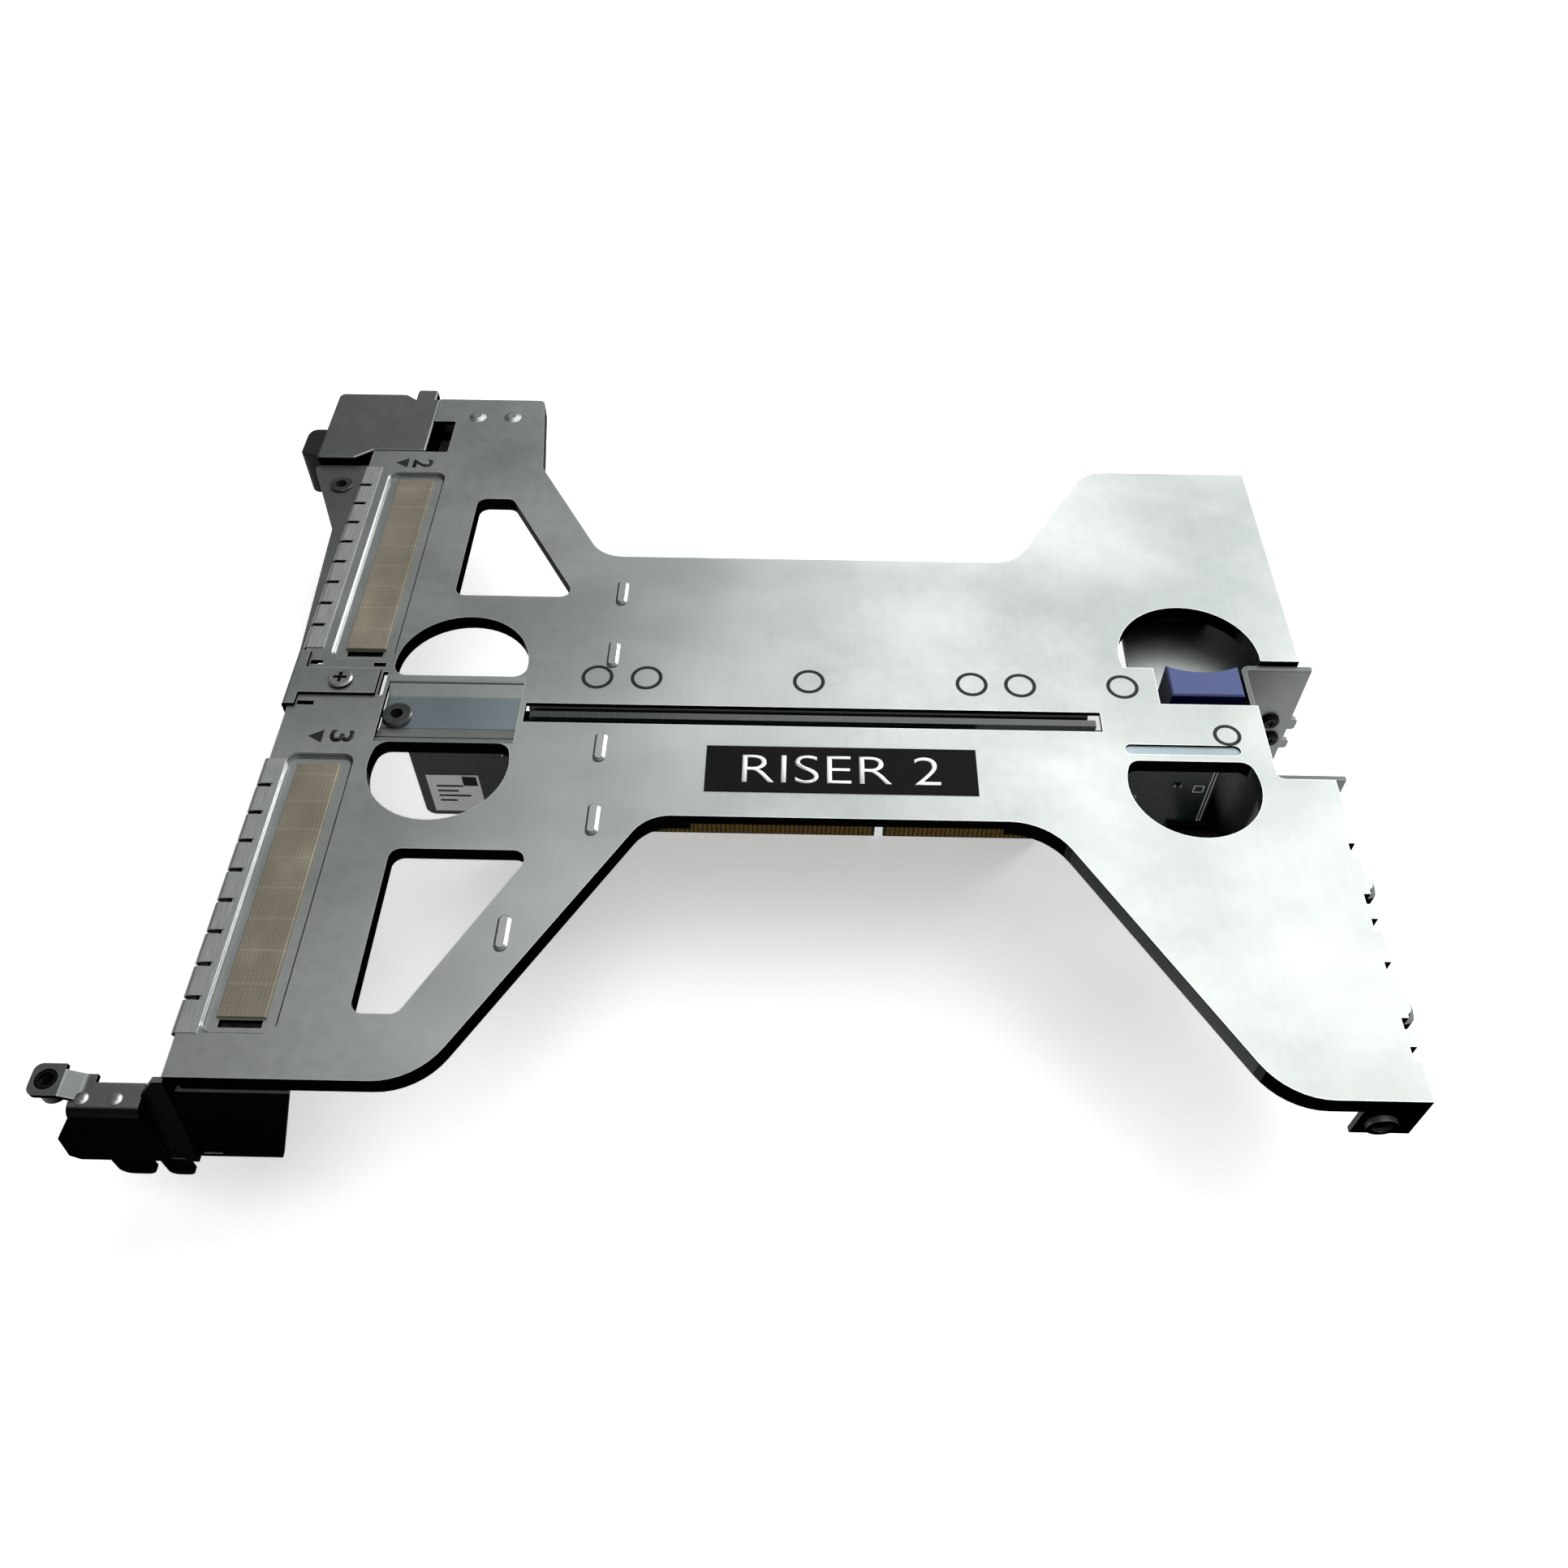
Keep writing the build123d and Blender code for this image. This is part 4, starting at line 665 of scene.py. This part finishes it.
ARROWS = [(-93.9, 78.4), (-94.0, -7.2)]
ARROW_RADIUS = 0.67         # as a share of its length
ARROW_RIM = 0.12
DIGITS = {"2": (-89.4, 78.2), "3": (-89.3, -7.1)}
DIGIT_STRETCH = 0.66
DIGIT_WEIGHT = 0.02
PLATE_ABOVE_BOARD = 0.4     # top of the plate over the board's upper edge


class CAGE_OT_slot_marks(bpy.types.Operator):
    """Printed arrow and number beside each card slot"""
    bl_idname = "cage.slot_marks"
    bl_label = "Print slot marks"

    def execute(self, context):
        ink = printed("black_pad_print", "ink", 0.5)
        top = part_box("riser_board")[1].z / MM + PLATE_ABOVE_BOARD
        marks = []
        for x, y in ARROWS:
            arrow = new_disc("arrow", (x, y, top), sizes().arrow_length / MM * ARROW_RADIUS, 3,
                             (0, 0, math.radians(90)))
            edit(arrow, faces=lambda face: True)
            push(sizes().print_thickness / MM)
            bpy.ops.mesh.inset(thickness=ARROW_RIM * MM)
            done()
            marks.append(arrow)
        for text, (x, y) in DIGITS.items():
            tall = sizes().digit_height
            marks.append(lettering("digit", text, (x, y, top), tall, tall * DIGIT_STRETCH,
                                   math.radians(-90), DIGIT_WEIGHT))
        finish_piece(join(marks, "slot_marks"), ink)
        return {"FINISHED"}


CURVE_STEPS = 6             # steps in each curve of a letter
MERGE = 0.02                # points of a letter closer than this become one


def lettering(name, text, centre, height, width, turn, weight):
    """Solid printed text, its middle at a point given in millimetres, lying on the plate."""
    deselect()
    bpy.ops.object.text_add()
    words = bpy.context.object
    words.data.body = text
    words.data.align_x = "CENTER"
    words.data.resolution_u = CURVE_STEPS
    words.data.offset = weight
    only(words)
    bpy.ops.object.convert(target="MESH")
    words = bpy.context.object
    low = Vector([min(v.co[i] for v in words.data.vertices) for i in range(3)])
    high = Vector([max(v.co[i] for v in words.data.vertices) for i in range(3)])
    grow = height / (high.y - low.y)
    stretch = width / (high.x - low.x)
    place = (Matrix.Translation(Vector(centre) * MM) @ Matrix.Rotation(turn, 4, "Z")
             @ Matrix.Diagonal((stretch, grow, 1, 1)) @ Matrix.Translation(-(low + high) / 2))
    words.data.transform(place)
    edit(words, faces=lambda face: True)
    bpy.ops.mesh.remove_doubles(threshold=MERGE * MM)
    bpy.ops.mesh.dissolve_limited(angle_limit=math.radians(0.5))
    push(sizes().print_thickness / MM)
    bpy.ops.mesh.select_all(action="SELECT")
    bpy.ops.mesh.normals_make_consistent(inside=False)
    done()
    return settle(words, name)


LEGEND_TEXT = "RISER 2"
LEGEND_WEIGHT = -0.012


class CAGE_OT_label_legend(bpy.types.Operator):
    """White position legend on the black label"""
    bl_idname = "cage.label_legend"
    bl_label = "Print label legend"

    def execute(self, context):
        low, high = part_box("label_plate")
        centre = ((low.x + high.x) / 2 / MM, (low.y + high.y) / 2 / MM, high.z / MM)
        legend = lettering("label_legend", LEGEND_TEXT, centre, sizes().legend_height,
                           sizes().legend_width, 0.0, LEGEND_WEIGHT)
        finish_piece(legend, printed("white_legend_print", "legend", 0.45))
        return {"FINISHED"}


PAD_RUNS = [(-53.0, 11), (-39.0, 56), (20.0, 33)]  # first pad's middle and how many
PAD_HALF = 0.35
PAD_DEPTH = (-0.01, 0.04)   # from the board's face
PAD_HEIGHT = (0.7, 4.9)
PAD_RIM = 0.05
PAD_LIFT = 0.01


class CAGE_OT_tongue_pads(bpy.types.Operator):
    """Gold pads on both faces of the board's tongue"""
    bl_idname = "cage.tongue_pads"
    bl_label = "Model tongue pads"

    def execute(self, context):
        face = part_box("riser_board")[1].y / MM
        rows = []
        for start, count in PAD_RUNS:
            pad = new_block("pad", (start - PAD_HALF, face + PAD_DEPTH[0], PAD_HEIGHT[0]),
                            (start + PAD_HALF, face + PAD_DEPTH[1], PAD_HEIGHT[1]))
            edit(pad, faces=lambda f: f.normal.y > 0.9)
            step(PAD_RIM, (0, PAD_LIFT, 0))
            done()
            rows.append(repeat(pad, count, (sizes().pad_pitch, 0, 0)))
        pads = join(rows, "tongue_pads")
        mirror = pads.modifiers.new("Other face", "MIRROR")
        mirror.use_axis = (False, True, False)
        only(pads)
        bpy.ops.object.modifier_apply(modifier=mirror.name)
        finish_piece(pads, contact_gold())
        return {"FINISHED"}


CHIP_ROW = [-33 + 5.5 * i for i in range(14)]
SOUTH_CHIPS = [(x, 7.6) for x in CHIP_ROW] + [(-60, 20), (-60, 26), (-66, 28), (79, 20), (79, 26)]
NORTH_CHIPS = [(x, 11.6) for x in CHIP_ROW] + [(-60, 20), (-60, 14), (64, 24), (70, 24), (64, 16)]
CHIP_HALF = (0.8, 0.4)      # half its length and half its width
CHIP_TALL = 0.5
CHIP_ROUND = 0.06
CHIP_BODY = 0.45            # half the length of the ceramic between the tinned ends


class CAGE_OT_passives(bpy.types.Operator):
    """Small resistors and capacitors on both faces of the board"""
    bl_idname = "cage.passives"
    bl_label = "Model small board parts"

    def execute(self, context):
        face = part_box("riser_board")[1].y / MM
        body = moulded_black("fired_ceramic", "epoxy", 4.0, 0.5)
        tin = tin_solder()
        long, wide = CHIP_HALF
        pattern = new_block("chip", (-long, 0, -wide), (long, CHIP_TALL, wide))
        soften(pattern, CHIP_ROUND, 1)
        for cut in (-CHIP_BODY, CHIP_BODY):
            bpy.ops.mesh.select_all(action="SELECT")
            bpy.ops.mesh.bisect(plane_co=(cut * MM, 0, 0), plane_no=(1, 0, 0))
        done()
        pattern.data.materials.append(body)
        pattern.data.materials.append(tin)
        for polygon in pattern.data.polygons:
            polygon.material_index = int(abs(polygon.center.x) > CHIP_BODY * MM)
        copies = [copy_to(pattern, (x, face, z)) for x, z in NORTH_CHIPS]
        copies += [copy_to(pattern, (x, -face, z), math.pi) for x, z in SOUTH_CHIPS]
        bpy.data.objects.remove(pattern)
        finish_piece(join(copies, "board_passives"), None)
        return {"FINISHED"}


OUTLINES = [(-23.3, -16.7, 9.7, 16.3), (-1.3, 5.3, 9.7, 16.3), (20.7, 27.3, 9.7, 16.3),
            (50.7, 57.3, 8.9, 16.1), (57.7, 64.3, 8.9, 16.1), (64.7, 71.3, 8.9, 16.1),
            (82.6, 84.8, 17.5, 19.7), (85.6, 86.5, 8.0, 32.0)]  # left, right, bottom, top
OUTLINE_DEPTH = (-0.02, 0.01)   # from the board's face
OUTLINE_WIDTH = 0.22


class CAGE_OT_silkscreen(bpy.types.Operator):
    """White outline print round the chips on the board"""
    bl_idname = "cage.silkscreen"
    bl_label = "Print board outlines"

    def execute(self, context):
        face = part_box("riser_board")[0].y / MM
        frames = []
        for left, right, bottom, top in OUTLINES:
            ring = new_block("ring", (left, face + OUTLINE_DEPTH[0], bottom),
                             (right, face + OUTLINE_DEPTH[1], top))
            for side in (-1, 1):
                edit(ring, faces=lambda f: f.normal.y * side > 0.9)
                bpy.ops.mesh.inset(thickness=OUTLINE_WIDTH * MM)
                bpy.ops.mesh.delete(type="FACE")
                done()
            edit(ring, edges=lambda e: e.is_boundary)
            bpy.ops.mesh.bridge_edge_loops()
            bpy.ops.mesh.select_all(action="SELECT")
            bpy.ops.mesh.normals_make_consistent(inside=False)
            done()
            frames.append(ring)
        ink = printed("white_board_print", "legend", 0.6)
        finish_piece(join(frames, "board_outlines"), ink)
        return {"FINISHED"}


TAG_BARS = [(-3.8, 2.2, 5.6), (-3.8, 0.6, 4.4), (-3.8, -1.0, 6.8), (-3.8, -2.6, 3.6)]
TAG_BAR_HEIGHT = 0.55
TAG_SQUARE = (2.0, 2.6, 3.0)    # left, bottom and side
TAG_DEPTH = (-0.03, 0.02)   # from the tag's face
TAG_RIM = 0.4
TAG_SINK = 0.02


class CAGE_OT_tag_print(bpy.types.Operator):
    """Plain bars and a square printed on the board's white tag"""
    bl_idname = "cage.tag_print"
    bl_label = "Print board tag"

    def execute(self, context):
        low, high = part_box("board_tag")
        x, z, face = (low.x + high.x) / 2 / MM, (low.z + high.z) / 2 / MM, low.y / MM
        left, bottom, side = TAG_SQUARE
        areas = [(*bar, TAG_BAR_HEIGHT) for bar in TAG_BARS] + [(left, bottom, side, side)]
        bars = [new_block("bar", (x + left, face + TAG_DEPTH[0], z + bottom),
                          (x + left + wide, face + TAG_DEPTH[1], z + bottom + tall))
                for left, bottom, wide, tall in areas]
        edit(bars[-1], faces=lambda f: f.normal.y < -0.9)
        step(TAG_RIM, (0, TAG_SINK, 0))
        done()
        finish_piece(join(bars, "tag_print"), printed("black_tag_print", "ink", 0.6))
        return {"FINISHED"}


THREADS = [(-107.8, 72.2, 33.2, 36.3), (-80.0, -0.4, 35.0, 37.3), (-122.45, -79.7, 30.6, 34.4)]
THREAD_PITCH = 0.5
THREAD_RADIUS = 1.25
RIDGE_RADIUS = 0.14
BLIND_RADIUS = 1.3
BLIND_THICK = 0.1
BLIND_RIM = 0.3
BLIND_SINK = 0.05


class CAGE_OT_threads(bpy.types.Operator):
    """Thread ridges and the closed bottom inside the three threaded inserts"""
    bl_idname = "cage.threads"
    bl_label = "Model threads"

    def execute(self, context):
        ridges = []
        floors = []
        for x, y, bottom, top in THREADS:
            disc = new_disc("floor", (x, y, bottom - BLIND_THICK), BLIND_RADIUS, 32)
            edit(disc, faces=lambda f: True)
            push(BLIND_THICK)
            step(BLIND_RIM, (0, 0, -BLIND_SINK))
            done()
            floors.append(disc)
            for i in range(int((top - bottom) / THREAD_PITCH)):
                deselect()
                bpy.ops.mesh.primitive_torus_add(
                    major_segments=32, minor_segments=4,
                    major_radius=THREAD_RADIUS * MM, minor_radius=RIDGE_RADIUS * MM,
                    location=(x * MM, y * MM, (bottom + (i + 0.5) * THREAD_PITCH) * MM))
                ridges.append(bpy.context.object)
        threads = join(ridges, "insert_threads")
        # Threads and closed bottoms are dark as painted shade in the insert bores.
        finish_piece(threads, plated_steel("thread_painted_shade", "black_oxide"))
        bottom_look = printed("shaded_bottom", "ink", 0.8, 0.0)
        finish_piece(join(floors, "insert_floors"), bottom_look)
        return {"FINISHED"}


WELDS = [(-116.3, -82.3, 33.0), (-110.7, -82.3, 33.0)]
WELD_RADIUS = 1.15
WELD_SUNK = 0.02            # how far its foot lies in the bracket
WELD_RISE = 0.22
WELD_STEPS = [(0.35, 0.2), (0.4, 0.06)]  # inset and rise of each step of the dome


class CAGE_OT_weld_buttons(bpy.types.Operator):
    """Two bright pressed buttons on the lower end bracket"""
    bl_idname = "cage.weld_buttons"
    bl_label = "Model weld buttons"

    def execute(self, context):
        buttons = []
        for x, y, z in WELDS:
            disc = new_disc("button", (x, y, z - WELD_SUNK), WELD_RADIUS, 32)
            edit(disc, faces=lambda f: True)
            push(WELD_RISE)
            for inset, rise in WELD_STEPS:
                step(inset, (0, 0, rise))
            done()
            only(disc)
            bpy.ops.object.shade_smooth_by_angle(angle=math.radians(50))
            buttons.append(disc)
        finish_piece(join(buttons, "weld_buttons"), plated_steel())
        return {"FINISHED"}


RIVET_RINGS = [(-41.0, 10.0, 3.0), (-31.0, 10.0, 3.0), (2.0, 9.7, 3.0), (35.0, 9.7, 3.0), (44.8, 9.6, 3.0),
               (65.5, 9.7, 3.0), (84.3, -2.9, 2.5)]
RING_REACH = 0.25           # how far it covers the plate round the rivet
RING_WIDTH = 0.75
RING_LIFT = 0.01
RING_THICK = 0.02


class CAGE_OT_rivet_rings(bpy.types.Operator):
    """Dark ring of painted shade over the gap round each flush rivet"""
    bl_idname = "cage.rivet_rings"
    bl_label = "Model rivet rings"

    def execute(self, context):
        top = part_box("plate_rivets")[1].z / MM
        rings = []
        for x, y, radius in RIVET_RINGS:
            ring = new_disc("ring", (x, y, top + RING_LIFT), radius + RING_REACH, 48)
            edit(ring, faces=lambda f: True)
            bpy.ops.mesh.inset(thickness=RING_WIDTH * MM)
            bpy.ops.mesh.delete(type="FACE")
            bpy.ops.mesh.select_all(action="SELECT")
            push(RING_THICK)
            done()
            rings.append(ring)
        finish_piece(join(rings, "rivet_rings"), printed("rivet_gap_painted_shade", "ink", 0.6))
        return {"FINISHED"}


RETURNS = [
    ("end_bracket_return", (-107.6, -83.9, 15.0), (-106.6, -80.9, 31.9)),
    ("front_bracket_return", (87.3, -1.5, 5.0), (91.0, 15.0, 6.0)),
    ("clamp_return", (-90.8, 97.1, 29.5), (-80.0, 104.6, 30.5)),
    ("carrier_return", (-58.0, 2.7, 26.0), (-54.3, 3.5, 34.6)),
    ("board_foot_return", (79.5, -1.6, 2.6), (91.0, -1.0, 7.6)),
]
RETURN_ROUND = 0.15


class CAGE_OT_folded_returns(bpy.types.Operator):
    """Small folded returns behind the bracket ends, under the clamp and beside the board, near black as
    painted shade
    """
    bl_idname = "cage.folded_returns"
    bl_label = "Model folded returns"

    def execute(self, context):
        # Near-black painted shade on every face.
        return_shade = galvanised_sheet("galvanised_returns_painted_shade", 0.02, 0.05)
        for name, low, high in RETURNS:
            piece = new_block(name, low, high)
            soften(piece, RETURN_ROUND)
            done()
            finish_piece(piece, return_shade)
        return {"FINISHED"}


class CAGE_OT_stage(bpy.types.Operator):
    """Floor, soft lamps, pale surroundings and the camera"""
    bl_idname = "cage.stage"
    bl_label = "Build stage"

    def execute(self, context):
        build_floor()
        build_world()
        place_lamps()
        place_camera()
        return {"FINISHED"}


FLOOR_SIZE = 6              # metres
FLOOR_UNDER = 0.2           # below the board's tongue
FLOOR_LIFT = 0.42           # brightness added where the camera sees it


def build_floor():
    """Plain pale floor that keeps the object's shadow."""
    deselect()
    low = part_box("riser_board")[0].z
    bpy.ops.mesh.primitive_grid_add(x_subdivisions=4, y_subdivisions=4, size=FLOOR_SIZE,
                                    location=(0, 0, low - FLOOR_UNDER * MM))
    floor = settle(bpy.context.object, "floor")
    material, shader = new_material("pale_floor")
    rays = add_node(material, "ShaderNodeLightPath")
    seen = combine(material, "ShaderNodeMath", "MAXIMUM",
                   rays.outputs["Is Camera Ray"], rays.outputs["Is Transmission Ray"])
    lift = combine(material, "ShaderNodeMath", "MULTIPLY", seen, FLOOR_LIFT)
    shade(material, shader, {"Base Color": colour("floor"), "Roughness": 0.9,
                             "Emission Color": grey(1), "Emission Strength": lift})
    floor.data.materials.append(material)


DIM_SIDE = 0.35             # share of the room light left at the rear end


def build_world():
    """Plain soft room light, dimmer towards the rear end of the cage."""
    world = bpy.data.worlds.new("pale_room")
    bpy.context.scene.world = world
    world.use_nodes = True
    back = world.node_tree.nodes["Background"]
    back.inputs["Color"].default_value = linear("#f6f8fa")
    place = add_node(world, "ShaderNodeTexCoord")
    side = add_node(world, "ShaderNodeSeparateXYZ", None, {"Vector": place.outputs["Generated"]})
    full = sizes().room_light
    feed(world, back.inputs["Strength"], spread(world, side.outputs["X"], DIM_SIDE * full, full, -0.6, 0.5))


LAMPS = [
    ("rear_right_softbox", (0.5, 0.64, 0.96), 1.4, 14.5),
    ("overhead_softbox", (0.2, -0.2, 1.5), 1.2, 6.0),
    ("low_edge_strip", (0.78, 0.64, 0.10), 0.35, 10.0),
]
LAMP_AIM = (0, 0, 0.03)


def place_lamps():
    """Large soft lamps, all turned to the cage."""
    for name, place, size, power in LAMPS:
        deselect()
        bpy.ops.object.light_add(type="AREA", location=place)
        lamp = bpy.context.object
        lamp.name = name
        lamp.data.size = size
        lamp.data.energy = power * sizes().lamp_power
        lamp.rotation_euler = (Vector(LAMP_AIM) - lamp.location).to_track_quat("-Z", "Y").to_euler()


CAMERA_PLACE = (0.0, -180.3, 238.0)
CAMERA_PITCH = 50.805
CAMERA_YAW = -0.8826
CAMERA_ROLL = -0.3371
CAMERA_LENS = 31.11
CAMERA_SENSOR = 36


def place_camera():
    """Camera at the photograph's place, looking down on the cage."""
    pitch, yaw, roll = (math.radians(v) for v in (CAMERA_PITCH, CAMERA_YAW, CAMERA_ROLL))
    ahead = Vector((math.sin(yaw) * math.cos(pitch), math.cos(yaw) * math.cos(pitch), -math.sin(pitch)))
    right = Vector((math.cos(yaw), -math.sin(yaw), 0))
    down = ahead.cross(right)
    level = math.cos(roll) * right + math.sin(roll) * down
    up = math.sin(roll) * right - math.cos(roll) * down
    deselect()
    bpy.ops.object.camera_add()
    camera = bpy.context.object
    camera.name = "photo_camera"
    turn = Matrix((level, up, -ahead)).transposed().to_4x4()
    camera.matrix_world = Matrix.Translation(Vector(CAMERA_PLACE) * MM) @ turn
    camera.data.lens = CAMERA_LENS
    camera.data.sensor_width = CAMERA_SENSOR
    camera.data.clip_start = 0.01
    bpy.context.scene.camera = camera
    bpy.context.scene.view_settings.view_transform = "Standard"


OPERATORS = [
    CAGE_OT_sheet_metal, CAGE_OT_soft_trim, CAGE_OT_gasket_tails, CAGE_OT_board,
    CAGE_OT_slot_marks, CAGE_OT_label_legend, CAGE_OT_tongue_pads, CAGE_OT_passives,
    CAGE_OT_silkscreen, CAGE_OT_tag_print, CAGE_OT_threads, CAGE_OT_weld_buttons,
    CAGE_OT_rivet_rings, CAGE_OT_folded_returns, CAGE_OT_stage,
]


class CAGE_PT_panel(bpy.types.Panel):
    """Lists the pieces of the riser cage"""
    bl_idname = "CAGE_PT_panel"
    bl_label = "Riser Cage"
    bl_space_type = "VIEW_3D"
    bl_region_type = "UI"
    bl_category = "Riser Cage"

    def draw(self, context):
        for operator in OPERATORS:
            self.layout.operator(operator.bl_idname, text=operator.bl_label)
        for group in (context.scene.cage_sizes, context.scene.cage_colours):
            for key in group.__annotations__:
                self.layout.prop(group, key)


CLASSES = [CageColours, CageSizes] + OPERATORS + [CAGE_PT_panel]


def register():
    for item in CLASSES:
        bpy.utils.register_class(item)
    bpy.types.Scene.cage_colours = bpy.props.PointerProperty(type=CageColours)
    bpy.types.Scene.cage_sizes = bpy.props.PointerProperty(type=CageSizes)


def unregister():
    del bpy.types.Scene.cage_sizes
    del bpy.types.Scene.cage_colours
    for item in reversed(CLASSES):
        bpy.utils.unregister_class(item)


def main():
    """Registers the add-on and builds every piece in order."""
    register()
    for operator in OPERATORS:
        build = getattr(bpy.ops.cage, operator.bl_idname.split(".")[1])
        build()


if __name__ == "__main__":
    main()
